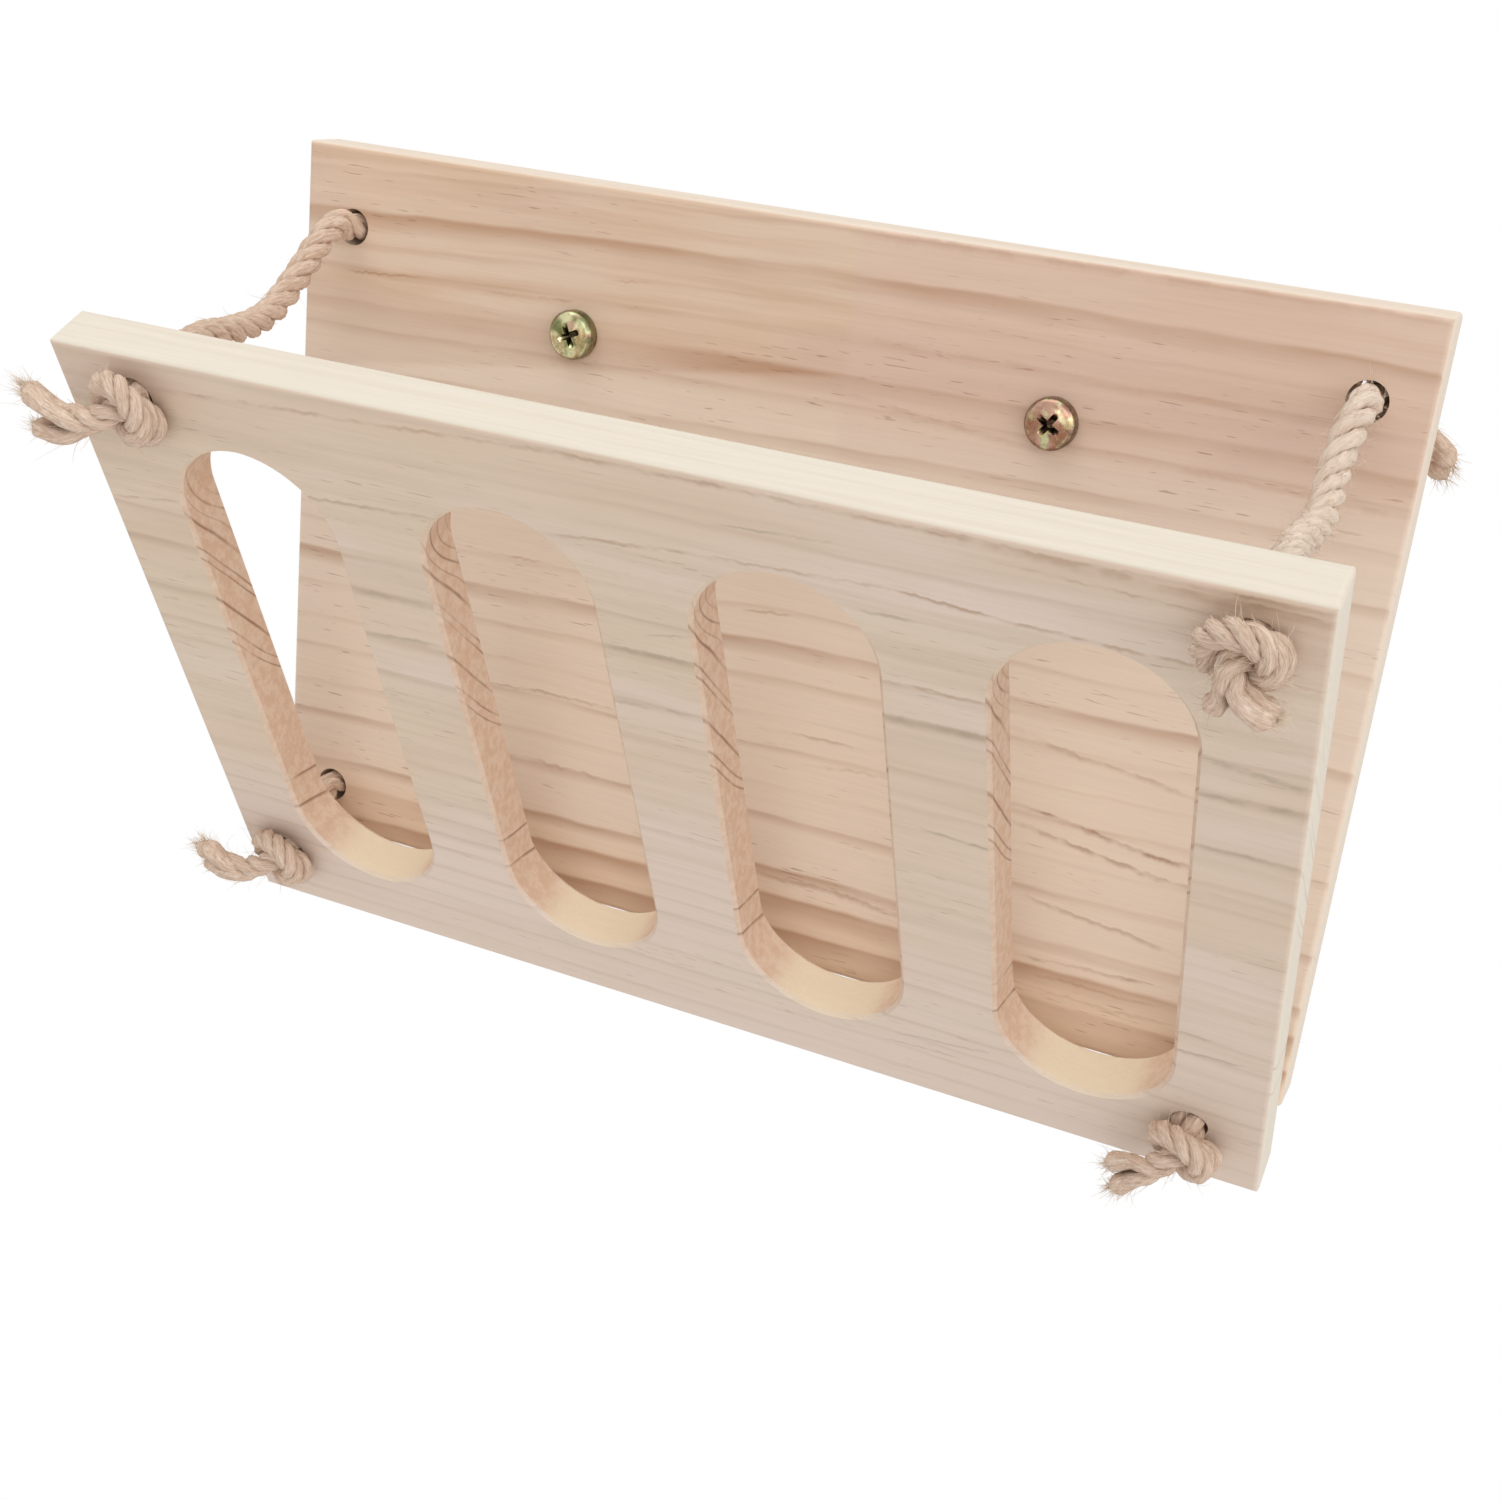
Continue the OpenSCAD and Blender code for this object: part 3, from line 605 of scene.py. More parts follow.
def jute_fluff(name):
    """Loose single fibres, which let light through and so look paler than the strands."""
    material, nodes, shader = new_material(name)
    tone = nodes.noise(nodes.combine(0.0, 0.0, strand_uv(nodes)[1]), 0.6, 2.0, 0.6)
    colour = nodes.ramp(tone, [(0.35, srgb(214, 186, 160)), (0.60, srgb(240, 224, 202))])
    nodes.feed_all(shader, {"Base Color": colour, "Roughness": 0.8, "Specular IOR Level": 0.2})
    return material


# ---- Curves and swept meshes, in millimetres ----


def spline(points, steps):
    """Catmull-Rom curve through the points, with steps parts between two of them."""
    p = np.array(points, float)
    before = np.vstack([2 * p[0] - p[1], p[:-2]])
    after = np.vstack([p[2:], 2 * p[-1] - p[-2]])
    out = []
    for a, b, c, d in zip(before, p[:-1], p[1:], after):
        for k in range(steps):
            t = k / steps
            bend = (2 * a - 5 * b + 4 * c - d) * t * t + (3 * b - a - 3 * c + d) * t ** 3
            out.append((2 * b + (c - a) * t + bend) / 2)
    out.append(p[-1])
    return np.array(out)


def lengths(points):
    """Length along the curve up to each of its points."""
    steps = np.linalg.norm(np.diff(points, axis=0), axis=1)
    return np.concatenate([[0.0], np.cumsum(steps)])


def even(points, step):
    """The same curve with points about one step apart, and the length up to each."""
    s = lengths(points)
    count = max(2, int(round(s[-1] / step)) + 1)
    at = np.linspace(0, s[-1], count)
    return np.stack([np.interp(at, s, points[:, i]) for i in range(3)], 1), at


def unit(v):
    return v / np.linalg.norm(v, axis=-1, keepdims=True)


def carried(points, first):
    """Directions along the curve and two across it, which turn no more than the curve does."""
    along = unit(np.gradient(points, axis=0))
    side = np.array(first, float)
    out = []
    for t in along:
        side = side - side.dot(t) * t
        side = side / np.linalg.norm(side)
        out.append(side)
    out = np.array(out)
    return along, out, np.cross(along, out)


def out_at(angle, side, other):
    """Directions across a line, at angles round it."""
    return np.cos(angle)[..., None] * side + np.sin(angle)[..., None] * other


class Shape:
    """Gathers rings of points into one mesh with UVs and an attribute that says how far out a point is."""

    def __init__(self):
        self.points = []
        self.faces = []
        self.uvs = []
        self.outer = []
        self.slots = []
        self.count = 0

    def tube(self, rings, uv_v, outer, slot=0):
        """rings is (n, sides, 3). Closes both ends. slot is the material that it gets."""
        n, sides, _ = rings.shape
        first = self.count
        self.points.append(rings.reshape(-1, 3))
        self.outer.append(np.broadcast_to(outer, (n, sides)).reshape(-1))
        for i in range(n - 1):
            low = first + i * sides
            for k in range(sides):
                m = (k + 1) % sides
                self.faces.append((low + k, low + m, low + sides + m, low + sides + k))
                u_from = k / sides
                u_to = (k + 1) / sides
                self.uvs += [(u_from, uv_v[i]), (u_to, uv_v[i]), (u_to, uv_v[i + 1]), (u_from, uv_v[i + 1])]
        last = first + (n - 1) * sides
        self.faces.append(tuple(first + k for k in reversed(range(sides))))
        self.uvs += [(k / sides, uv_v[0]) for k in reversed(range(sides))]
        self.faces.append(tuple(last + k for k in range(sides)))
        self.uvs += [(k / sides, uv_v[-1]) for k in range(sides)]
        self.slots += [slot] * ((n - 1) * sides + 2)
        self.count += n * sides

    def build(self, name, materials):
        mesh = bpy.data.meshes.new(name)
        points = np.concatenate(self.points) * MM
        mesh.from_pydata(points.tolist(), [], self.faces)
        layer = mesh.uv_layers.new(name="UVMap")
        layer.data.foreach_set("uv", np.array(self.uvs, np.float32).ravel())
        outer = mesh.attributes.new("outer", "FLOAT", "POINT")
        outer.data.foreach_set("value", np.concatenate(self.outer).astype(np.float32))
        mesh.polygons.foreach_set("use_smooth", [True] * len(mesh.polygons))
        mesh.polygons.foreach_set("material_index", self.slots)
        for material in materials:
            mesh.materials.append(material)
        return new_object(name, mesh)


# ---- Rope: three strands laid round a line ----

# Step between two rings, and sides of a strand and of a stray fibre
RING_STEP = 0.55
STRAND_SIDES = 16
HAIR_SIDES = 3
# Radius of a strand as a share of the rope's, and length of one lay in diameters of the rope
STRAND_PART = 0.5
ROPE_LAY = 2.7
KNOT_LAY = 2.1
# Yarns that show in a strand, depth of the grooves between them, and length over which a cut end narrows
YARNS = 5
YARN_DEPTH = 0.10
BLUNT_LEN = 2.2
# Share of a rope's end at which its strands begin to part, and how much they swell there
PART_FROM = 0.25
STRAND_SWELL = 0.30
# Material slot of the stray fibres
FLUFF = 1


def strand_rings(line, radii, yarn_turn, rng, blunt):
    """Rings of one strand along its own line, with the length, outward and forward directions at each."""
    along, side, other = carried(line, (0.31, 0.52, 0.79))
    s = lengths(line)
    angles = 2 * np.pi * np.arange(STRAND_SIDES) / STRAND_SIDES
    phase = rng.uniform(0, 2 * np.pi, 4)
    ridges = YARN_DEPTH * np.cos(YARNS * (angles[None, :] - yarn_turn[:, None]) + phase[0])
    lumps = 0.035 * np.sin(s[:, None] / 2.3 + phase[1] + 2 * np.sin(angles[None, :] + phase[2]))
    lumps = lumps + 0.02 * np.sin(s[:, None] / 0.9 + phase[3] + 3 * np.sin(angles[None, :] + phase[1]))
    r = radii[:, None] * (1 + ridges + lumps)
    if blunt:
        r = r * np.clip((s[-1] - s) / BLUNT_LEN, 0.02, 1.0)[:, None] ** 0.5
    outs = out_at(angles[None, :], side[:, None, :], other[:, None, :])
    return line[:, None, :] + r[:, :, None] * outs, s, outs, along


def add_hairs(shape, roots, outs, alongs, lengths_mm, rng):
    """Stray fibres: thin hairs that leave the strand at a low angle and curl."""
    count = len(roots)
    steps = 5
    t = np.linspace(0, 1, steps)
    wild = unit(rng.normal(size=(count, 3)))
    direction = unit(0.8 * alongs + rng.uniform(0.1, 0.6, count)[:, None] * outs + 0.3 * wild)
    curl = unit(rng.normal(size=(count, 3)))
    turn = rng.uniform(0.15, 0.8, count)
    line = roots[:, None, :] + lengths_mm[:, None, None] * (
        t[None, :, None] * direction[:, None, :]
        + (turn[:, None] * t[None, :] ** 2)[:, :, None] * curl[:, None, :]
    )
    thick = rng.uniform(0.04, 0.085, count)
    for i in range(count):
        width = thick[i] * (1 - 0.75 * t)
        _, side, other = carried(line[i], wild[i] + 0.01)
        rings = []
        for k in range(HAIR_SIDES):
            a = k * 2 * np.pi / HAIR_SIDES
            rings.append(line[i] + width[:, None] * (math.cos(a) * side + math.sin(a) * other))
        shape.tube(np.stack(rings, 1), t * lengths_mm[i] + 7 * i, 1.0, FLUFF)


def nearest_order(spread, twist, side, other, i):
    """The ends in the order in which each strand goes to the one on its own side, seen at ring i."""
    around = [out_at(twist[i] + 2 * np.pi * k / 3, side[i], other[i]) for k in range(3)]

    def agreement(order):
        return sum(around[k].dot(spread[order[k]]) for k in range(3))

    return spread[list(max(permutations(range(3)), key=agreement))]


def rope_piece(
    name, materials, line, radius, seed, hairs, loose=0.0, spread=None, tail_from=None, end_hairs=0,
):
    """Rope along the line, with its radius at each point. Past tail_from its strands part towards spread."""
    rng = np.random.default_rng(seed)
    shape = Shape()
    s = lengths(line)
    along, side, other = carried(line, (1.0, 0.2, 0.1))
    parted = np.zeros(len(s))
    if tail_from is not None:
        share = np.clip((s - tail_from) / (s[-1] - tail_from), 0, 1)
        share = np.clip((share - PART_FROM) / (1 - PART_FROM), 0, 1)
        parted = share ** 1.2
    lay = ROPE_LAY if spread is None else KNOT_LAY
    rate = (1 - 0.8 * np.clip(parted * 2.5, 0, 1)) * 2 * np.pi / (lay * 2 * radius)
    twist = np.concatenate([[0.0], np.cumsum((rate[1:] + rate[:-1]) / 2 * np.diff(s))])
    twist = twist + rng.uniform(0, 2 * np.pi)
    if spread is not None:
        spread = nearest_order(np.array(spread, float), twist, side, other, int(np.argmax(parted > 0)))
    for k in range(3):
        angle = twist + 2 * np.pi * k / 3
        strand_r = radius * STRAND_PART * (1 + STRAND_SWELL * parted)
        wander = loose * np.sin(s / 5.1 + 2.1 * k + seed)
        off_line = (1 - STRAND_PART) * radius * (1 + wander)
        centre = line + off_line[:, None] * out_at(angle, side, other)
        if spread is not None:
            centre = centre + parted[:, None] * spread[k]
        rings, own_s, outs, own_along = strand_rings(centre, strand_r, -angle * 0.8, rng, spread is not None)
        off = np.linalg.norm(rings - line[:, None, :], axis=2) / (2 * STRAND_PART * radius)[:, None]
        outer = np.clip(np.maximum(off, parted[:, None] * 1.2), 0, 1)
        shape.tube(rings, own_s + 13.7 * k, outer)
        total = int(round(hairs * s[-1]))
        if total:
            i = rng.integers(3, len(s) - 3, total)
            j = rng.integers(0, STRAND_SIDES, total)
            keep = outer[i, j] > 0.8
            i = i[keep]
            j = j[keep]
            add_hairs(shape, rings[i, j], outs[i, j], own_along[i], rng.uniform(1.5, 5.0, len(i)), rng)
        if end_hairs:
            i = len(s) - 1 - rng.integers(0, 6, end_hairs)
            j = rng.integers(0, STRAND_SIDES, end_hairs)
            roots = centre[i] + 0.7 * (rings[i, j] - centre[i])
            reach = rng.uniform(1.0, 3.2, end_hairs)
            add_hairs(shape, roots, 0.5 * outs[i, j], 1.2 * own_along[i], reach, rng)
    return shape.build(name, materials)


# ---- Knots ----


def knot_points(knot, steps):
    """Overhand knot, from its own centre, in [across, up, out of the board's face]."""
    heading, tilt, turn = (math.radians(a) for a in knot)
    t = np.linspace(KNOT_START, KNOT_END, steps + 1)
    rho = KNOT_CORE + (KNOT_LOOP - KNOT_CORE) / (1 + (np.abs(t) / KNOT_FLARE) ** KNOT_SHARP)
    phi = math.radians(KNOT_TURN) * t + turn
    own = np.stack([rho * np.cos(phi), rho * np.sin(phi), KNOT_RISE * (t ** 3 - 3 * t) / 2], 1)
    axes = np.array([
        [math.cos(tilt) * math.cos(heading), math.cos(tilt) * math.sin(heading), -math.sin(tilt)],
        [-math.sin(heading), math.cos(heading), 0.0],
        [math.sin(tilt) * math.cos(heading), math.sin(tilt) * math.sin(heading), math.cos(tilt)],
    ])
    return (KNOT_ROPE_D + STRAND_ROOM) * own @ axes


def knotted_line(knot, tight, shift, tail, thickness, stem_r):
    """Line of a rope from the middle of its hole, through its knot, to its frayed end."""
    fine = 6
    points = np.array(tight) * knot_points(knot, KNOT_STEPS * fine)
    loops = points[KNOT_ENDS * fine:(KNOT_STEPS - KNOT_ENDS) * fine + 1, 2]
    lift = KNOT_ROPE_D / 2 + KNOT_ROOM - loops.min()
    points = points + np.array([shift[0] - points[0][0], shift[1] - points[0][1], lift])
    stem = spline([[0, 0, -thickness / 2], [0, 0, -STEM_TOP], points[0]], 8)
    end = spline([points[-1 - fine], points[-1], *tail], 12)[12:]
    line = np.vstack([stem[:-1], points, end[1:]])
    line, s = even(line, RING_STEP)
    knot_from = lengths(stem)[-1]
    knot_to = knot_from + lengths(points)[-1]
    narrow = np.interp(s, [0, thickness / 2, knot_from + 1.5], [stem_r, stem_r, KNOT_FULL_D / 2])
    wide = np.interp(s, [knot_to, s[-1]], [0.0, TAIL_SWELL])
    return line, narrow + wide, knot_to


def front_place(p):
    """Places in the whole rack of points in the front board's own frame."""
    p = np.atleast_2d(p)
    y = p[:, 1] - SWING_GAP
    return np.stack([
        p[:, 0],
        SWING_Y + y * math.cos(LEAN) - p[:, 2] * math.sin(LEAN),
        SWING_Z + y * math.sin(LEAN) + p[:, 2] * math.cos(LEAN),
    ], 1)


def on_front_face(x, z, p):
    p = np.atleast_2d(p)
    return front_place(np.stack([x + p[:, 0], -FRONT_T - p[:, 2], z + p[:, 1]], 1))


def on_back_face(x, z, p):
    p = np.atleast_2d(p)
    return np.stack([x + p[:, 0], p[:, 2], z + p[:, 1]], 1)


# Every knot: its corner, [heading, tilt, turn] in degrees, how tight it is [across, up, out], shift of its
# start from the hole, its tail from the hole, how far its strands part at their ends, stray fibres per mm of
# a strand, and fibres at a strand's end
FRONT_KNOTS = [
    ["top_left", [186, 12, -40], [0.96, 1, 0.8], [0.6, -1], [[-10, -1.0, 10.5], [-17.8, 0.8, 8.8]],
     [[-1, 5.5, 1], [-0.5, 2.5, 2], [0, -4.5, 0]], 1.6, 90],
    ["top_right", [262, 8, -80], [0.94, 0.94, 0.85], [-0.8, -0.5], [[0.3, -4.8, 10.5], [0.6, -7.4, 9]],
     [[7.0, 3.0, 1], [4.5, 1.0, 0], [-3.5, -1.5, 1]], 3.2, 100],
    ["bottom_left", [168, 15, -20], [1, 0.9, 0.75], [0.4, 0.6], [[-11, -1, 10], [-19.0, -0.6, 8.5]],
     [[3.5, 9, 0], [-1.5, 5, 2], [0, -2.5, 0]], 1.6, 90],
    ["bottom_right", [205, 20, -40], [0.92, 0.84, 0.8], [0.6, -2.6], [[-7, -7, 9.8], [-12.6, -13.6, 9]],
     [[-2, 3, 1], [-1, 1.5, 2], [2, -2.5, 0]], 1.6, 90],
]
BACK_KNOTS = [
    ["top_left", [205, 15, -85], [1, 1, 0.9], [0, 0], [[-9, -5, 11], [-16, -9, 8]],
     [[0, 3, 1], [-2, 0, 0], [1, -3, 0]], 1.2, 50],
    ["top_right", [-30, 15, -95], [1, 1, 0.9], [0, 0], [[8, -8, 11], [14, -13, 9]],
     [[1, 3, 0], [2, 0, 1], [0, -3, 0]], 1.4, 60],
    ["bottom_left", [150, 15, -90], [1, 1, 0.9], [0, 0], [[-10, 6, 11], [-17, 10, 8]],
     [[0, 3, 0], [-2, 0, 1], [1, -3, 0]], 1.2, 50],
    ["bottom_right", [160, 12, -80], [1, 1, 0.9], [0, 0], [[-10, 4, 11], [-17, 7, 8]],
     [[0, 3, 1], [2, 0, 0], [0, -3, 0]], 1.2, 50],
]


# Each face: its holes, places on it, thickness of its board, radius of a rope's stem there
FACES = {
    "front": (FRONT_HOLES, on_front_face, FRONT_T, FRONT_STEM_R),
    "back": (BACK_HOLES, on_back_face, BACK_T, ROPE_D / 2),
}


def knot_piece(row, face, body, materials, seed):
    """Rope from the middle of a hole to its frayed end, with its knot."""
    corner, knot, tight, shift, tail, spread, hairs, end_hairs = row
    holes, place, thickness, stem_r = FACES[face]
    x, z = holes[corner]
    line, radius, tail_from = knotted_line(knot, tight, shift, tail, thickness, stem_r)
    world_spread = place(x, z, spread) - place(x, z, [[0, 0, 0]])
    piece = rope_piece(
        f"{corner}_{face}_knot_rope", materials, place(x, z, line), radius, seed, hairs,
        spread=world_spread, tail_from=tail_from, end_hairs=end_hairs,
    )
    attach(piece, body)
    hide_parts(f"{corner}_{face}_knot")


def at_back(corner, y):
    """Place on a rope's line, y before the face of the back board."""
    x, z = BACK_HOLES[corner]
    return np.array([x, -BACK_T - y, z])


def at_front(corner, y):
    """Place on a rope's line, y behind the rear face of the front board."""
    x, z = FRONT_HOLES[corner]
    return front_place([x, y, z])[0]


def long_curve(corner):
    """Line of an upper rope, which sags between the boards."""
    middle = (at_back(corner, 0) + at_front(corner, 0)) / 2 - [0, 0, ROPE_SAG]
    points = [at_back(corner, 0), at_back(corner, ROPE_LEAD), at_back(corner, ROPE_BEND), middle,
              at_front(corner, ROPE_BEND), at_front(corner, ROPE_LEAD), at_front(corner, 0)]
    return spline(points, 12)


def short_curve(corner):
    """Line of a lower rope: one even bend between boards that nearly touch."""
    start = at_back(corner, SHORT_LEAD)
    end = at_front(corner, SHORT_LEAD)
    pull = SHORT_PULL * np.linalg.norm(end - start)
    leave = pull * unit(start - at_back(corner, 0))
    arrive = pull * unit(at_front(corner, 0) - end)
    t = np.linspace(0, 1, SHORT_STEPS)[:, None]
    late = t * t * (3 - 2 * t)
    curve = (1 - late) * start + late * end + t * (1 - t) * ((1 - t) * leave - t * arrive)
    return np.vstack([at_back(corner, 0), curve, at_front(corner, 0)])


def span_piece(corner, curve, hairs, loose, materials, seed):
    """Rope between the two boards, from the middle of one hole to the middle of the other."""
    inner = np.vstack([at_back(corner, -BACK_T / 2), curve, at_front(corner, -FRONT_T / 2)])
    line, s = even(inner, RING_STEP)
    radius = np.full(len(s), ROPE_D / 2)
    piece = rope_piece(f"{corner}_span_rope", materials, line, radius, seed, hairs, loose)
    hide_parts(f"{corner}_rope")
    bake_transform(piece)


def make_ropes():
    materials = [jute("jute"), jute_fluff("jute_fluff")]
    for i, row in enumerate(FRONT_KNOTS):
        knot_piece(row, "front", "swinging_front", materials, 11 + i)
    for i, row in enumerate(BACK_KNOTS):
        knot_piece(row, "back", "fixed_frame", materials, 31 + i)
    span_piece("top_left", long_curve("top_left"), 0.8, 0.0, materials, 51)
    worn_materials = [jute("worn_jute", 0.4), materials[FLUFF]]
    span_piece("top_right", long_curve("top_right"), 5.0, 0.3, worn_materials, 52)
    span_piece("bottom_left", short_curve("bottom_left"), 0.4, 0.0, materials, 53)
    span_piece("bottom_right", short_curve("bottom_right"), 0.4, 0.0, materials, 54)


# ---- Screws ----


def head_profile():
    """Half section of a pan head from its crown to its foot: [radius, height]."""
    rim = HEAD_H - DOME_RISE
    shoulder = HEAD_R - HEAD_CORNER
    points = [[0.0, HEAD_H]]
    for share in (0.2, 0.4, 0.6, 0.8, 1.0):
        points.append([shoulder * share, HEAD_H - DOME_RISE * share ** 2])
    for step in range(1, 9):
        a = math.radians(90 - 90 * step / 8)
        points.append([shoulder + HEAD_CORNER * math.cos(a), rim - HEAD_CORNER + HEAD_CORNER * math.sin(a)])
    points.append([HEAD_R, 0.25])
    points.append([HEAD_R - 0.2, 0.0])
    points.append([0.0, 0.0])
    return points


def ring(bm, radii, height):
    """Vertices round the z axis at one height, each with its own radius."""
    out = []
    for k, radius in enumerate(radii):
        a = 2 * math.pi * k / len(radii)
        out.append(bm.verts.new((radius * math.cos(a), radius * math.sin(a), height)))
    return out


def skin(bm, rings):
    """Faces between rings of vertices, each joined to the next."""
    for here, there in zip(rings[:-1], rings[1:]):
        for k in range(len(here)):
            m = (k + 1) % len(here)
            bm.faces.new((here[k], there[k], there[m], here[m]))


def mesh_object(name, bm):
    mesh = bpy.data.meshes.new(name)
    bm.to_mesh(mesh)
    bm.free()
    return new_object(name, mesh)


def turned(bm, profile, sides):
    """Solid of revolution about z from a profile that starts and ends on the axis."""
    first = bm.verts.new((0, 0, profile[0][1]))
    last = bm.verts.new((0, 0, profile[-1][1]))
    rings = [ring(bm, [r] * sides, h) for r, h in profile[1:-1]]
    for k in range(sides):
        m = (k + 1) % sides
        bm.faces.new((first, rings[0][k], rings[0][m]))
        bm.faces.new((last, rings[-1][m], rings[-1][k]))
    skin(bm, rings)
    bmesh.ops.recalc_face_normals(bm, faces=bm.faces)


def recess_cutter():
    """Cross recess: four arms whose ends slope in and whose sides narrow towards the foot."""
    bm = bmesh.new()
    layers = []
    above = 1.0
    slope = (RECESS_TOP_R - RECESS_FOOT_R) / RECESS_DEPTH
    levels = [
        (HEAD_H + above, RECESS_TOP_R + slope * above, RECESS_W / 2 + 0.1),
        (HEAD_H - RECESS_DEPTH, RECESS_FOOT_R, RECESS_W / 2 - 0.18),
    ]
    for height, reach, half in levels:
        outline = []
        shoulder = reach - 0.5 * half
        arm = [(half, -half), (shoulder, -half), (reach, -0.4 * half), (reach, 0.4 * half), (shoulder, half)]
        for quarter in range(4):
            turn = Matrix.Rotation(math.radians(90 * quarter + 45), 3, "Z")
            for x, y in arm:
                outline.append(bm.verts.new(turn @ Vector((x, y, height))))
        layers.append(outline)
    bm.faces.new(layers[0])
    bm.faces.new(list(reversed(layers[1])))
    skin(bm, layers)
    bmesh.ops.recalc_face_normals(bm, faces=bm.faces)
    return mesh_object("recess_cutter", bm)


def thread_radius(height, share):
    """Radius of the thread at a height and a share of the way round."""
    off_crest = abs((height / THREAD_PITCH + share) % 1.0 - 0.5)
    rise = min(1.0, max(0.0, 1.25 - off_crest * 3.2))
    return THREAD_CORE_R + (THREAD_R - THREAD_CORE_R) * rise


def threaded_shank(bm):
    """Shank below the head: a ridged thread, then the plain lead and its bevelled tip."""
    sides = 36
    step = 0.1
    start = -1.0
    runout = 0.15
    thread_end = -(SCREW_LEN - LEAD_LEN)
    rings = []
    for h in np.arange(start, thread_end, -step):
        rings.append(ring(bm, [thread_radius(h, k / sides) for k in range(sides)], h))
    lead = [
        (THREAD_CORE_R, thread_end), (LEAD_R, thread_end - runout),
        (LEAD_R, -SCREW_LEN + TIP_BEVEL), (LEAD_R - TIP_BEVEL, -SCREW_LEN),
    ]
    rings += [ring(bm, [r] * sides, h) for r, h in lead]
    skin(bm, rings)
    bm.faces.new(rings[0])
    bm.faces.new(list(reversed(rings[-1])))


def add_bevel(obj, width, segments):
    ease = obj.modifiers.new("ease", "BEVEL")
    ease.width = width
    ease.segments = segments
    ease.limit_method = "ANGLE"
    ease.angle_limit = math.radians(35)


def screw_piece(name, node, x, turn, material):
    """Screw built in millimetres along z, then turned to point along y and scaled to metres."""
    bm = bmesh.new()
    turned(bm, head_profile(), HEAD_SIDES)
    obj = mesh_object(name, bm)
    mesh = obj.data
    cutter = recess_cutter()
    cut = obj.modifiers.new("recess", "BOOLEAN")
    cut.operation = "DIFFERENCE"
    cut.solver = "EXACT"
    cut.object = cutter
    add_bevel(obj, 0.13, 3)
    bpy.context.view_layer.update()
    made = bpy.data.meshes.new_from_object(obj.evaluated_get(bpy.context.evaluated_depsgraph_get()))
    obj.modifiers.clear()
    bpy.data.objects.remove(cutter)
    bm = bmesh.new()
    bm.from_mesh(made)
    bmesh.ops.recalc_face_normals(bm, faces=bm.faces)
    threaded_shank(bm)
    bm.transform(Matrix.Rotation(turn, 4, "Z"))
    bm.transform(Matrix.Rotation(math.radians(90), 4, "X"))
    bm.transform(Matrix.Translation((x, -BACK_T, 0)))
    bm.transform(Matrix.Scale(MM, 4))
    bm.to_mesh(mesh)
    bm.free()
    mesh.materials.append(material)
    mesh.polygons.foreach_set("use_smooth", [True] * len(mesh.polygons))
    mesh.set_sharp_from_angle(angle=math.radians(40))
    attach(obj, "fixed_frame")
    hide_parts(node)


# Each screw: its node, place across the board, turn in degrees, shift of its plating and rose in it
SCREWS = [["left_screw", -SCREW_X, -20, 0.0, 0.0], ["right_screw", SCREW_X, 12, 7.0, 0.6]]


def make_fixings():
    for node, x, turn, shift, rosy in SCREWS:
        material = yellow_zinc(f"{node}_zinc", shift, rosy, 0.0, x)
        screw_piece(f"{node}_threaded", node, x, math.radians(turn), material)
    fixings = yellow_zinc("fixing_zinc")
    for node in ("left_washer", "right_washer", "left_wing_nut", "right_wing_nut"):
        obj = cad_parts[node]
        dress(obj, fixings)
        add_bevel(obj, 0.3 * MM, 2)


def dress(obj, material):
    """Gives a carried-over solid one material."""
    obj.data.materials.clear()
    obj.data.materials.append(material)


# ---- Stage, light and camera ----

# Camera worked out from places marked in the photograph: focal length and width of the picture in pixels,
# place in millimetres, and directions of its picture and of its view
LENS_PX = 2048.137
IMAGE_PX = 1500.0
SENSOR = 36.0
EYE = Vector((159.62, -405.3, 74.08))
LOOK_RIGHT = Vector((0.904183, 0.413989, 0.105196))
LOOK_DOWN = Vector((0.234964, -0.276387, -0.931881))
LOOK_AHEAD = Vector((-0.356713, 0.867308, -0.347177))

# Light of the room on the object, and the floor: half its side and its height in metres, its glow where the
# camera sees it, and the share of that glow against the matt floor that takes the shadow
ROOM_LEVEL = 0.5
FLOOR_HALF = 60.0
FLOOR_Z = -0.55
FLOOR_GLOW = 1.03
FLOOR_SHARE = 0.85

# Wide suns: name, direction that they shine from, angle of their disc in degrees, level
SUNS = [
    ["key", (-0.25, -0.15, 0.95), 60, 0.42],
    ["front", (0.3, -0.94, 0.12), 50, 0.2],
    ["right", (0.9, -0.35, 0.3), 50, 0.3],
]


def make_camera():
    data = bpy.data.cameras.new("camera")
    data.sensor_width = SENSOR
    data.sensor_height = SENSOR
    data.sensor_fit = "HORIZONTAL"
    data.lens = LENS_PX / IMAGE_PX * SENSOR
    data.clip_start = 0.01
    data.clip_end = 50.0
    camera = new_object("camera", data)
    turn = Matrix((LOOK_RIGHT, -LOOK_DOWN, -LOOK_AHEAD)).transposed()
    camera.matrix_world = Matrix.Translation(EYE * MM) @ turn.to_4x4()
    bpy.context.scene.camera = camera


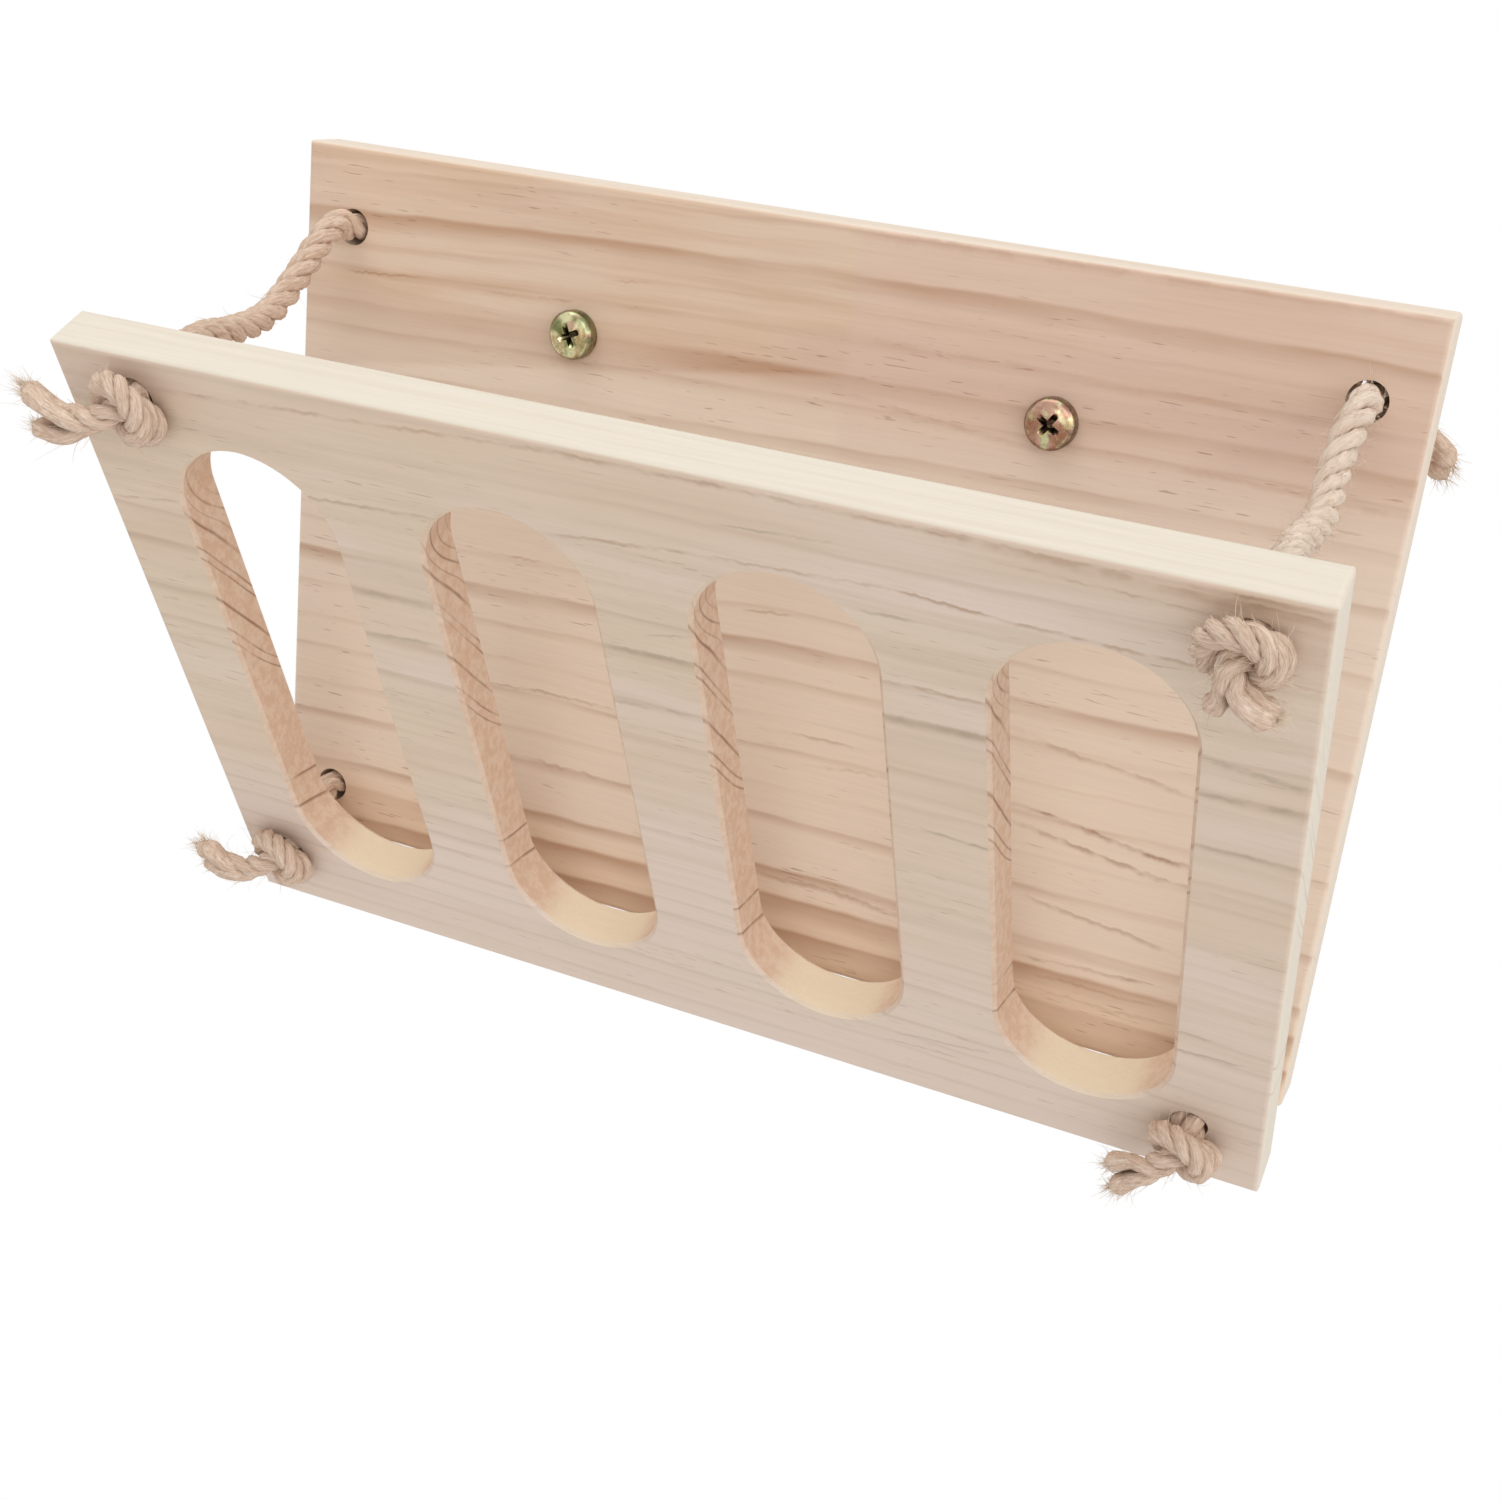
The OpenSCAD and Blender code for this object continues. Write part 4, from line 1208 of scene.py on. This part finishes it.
def soft_sun(name, towards, angle, level):
    """Even light from a wide disc. level is what it adds to a white surface that faces it."""
    data = bpy.data.lights.new(name, "SUN")
    data.angle = math.radians(angle)
    data.energy = math.pi * level
    light = new_object(name, data)
    light.rotation_mode = "QUATERNION"
    light.rotation_quaternion = Vector(towards).to_track_quat("Z", "Y")


def seen_directly(nodes):
    """1 for rays that show the background, in the picture or in metal, and 0 for light on the object."""
    path = nodes.add("ShaderNodeLightPath").outputs
    shown = nodes.greater(path["Is Camera Ray"], path["Is Glossy Ray"])
    return nodes.greater(shown, path["Is Transmission Ray"])


def make_world():
    world = bpy.data.worlds.new("white_room")
    bpy.context.scene.world = world
    nodes = Nodes(world)
    strength = nodes.math("MULTIPLY_ADD", seen_directly(nodes), 1.0 - ROOM_LEVEL, ROOM_LEVEL)
    light = nodes.add("ShaderNodeBackground", {"Color": (1.0, 1.0, 1.0, 1.0), "Strength": strength})
    nodes.add("ShaderNodeOutputWorld", {"Surface": light.outputs[0]})


def make_floor():
    """Pale floor well below the rack: white to the eye, with the rack's soft shadow kept on it."""
    mesh = bpy.data.meshes.new("floor")
    corners = [(FLOOR_HALF * x, FLOOR_HALF * y, FLOOR_Z) for x, y in ((-1, -1), (1, -1), (1, 1), (-1, 1))]
    mesh.from_pydata(corners, [], [(0, 1, 2, 3)])
    floor = new_object("floor", mesh)
    material = bpy.data.materials.new("floor")
    nodes = Nodes(material)
    matt = nodes.add("ShaderNodeBsdfDiffuse", {"Color": (0.8, 0.8, 0.8, 1.0)})
    glow = nodes.add("ShaderNodeEmission", {"Color": (1.0, 1.0, 1.0, 1.0), "Strength": FLOOR_GLOW})
    share = nodes.times(seen_directly(nodes), FLOOR_SHARE)
    both = nodes.add("ShaderNodeMixShader", {0: share, 1: matt.outputs[0], 2: glow.outputs[0]})
    nodes.add("ShaderNodeOutputMaterial", {"Surface": both.outputs[0]})
    mesh.materials.append(material)


def make_stage():
    scene = bpy.context.scene
    scene.view_settings.view_transform = "Standard"
    make_camera()
    make_world()
    make_floor()
    for name, towards, angle, level in SUNS:
        soft_sun(name, towards, angle, level)


make_stage()
dress(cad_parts["back_board"], pine("back_pine", BACK_LOOK))
dress(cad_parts["front_board"], pine("front_pine", FRONT_LOOK))
make_fixings()
make_ropes()
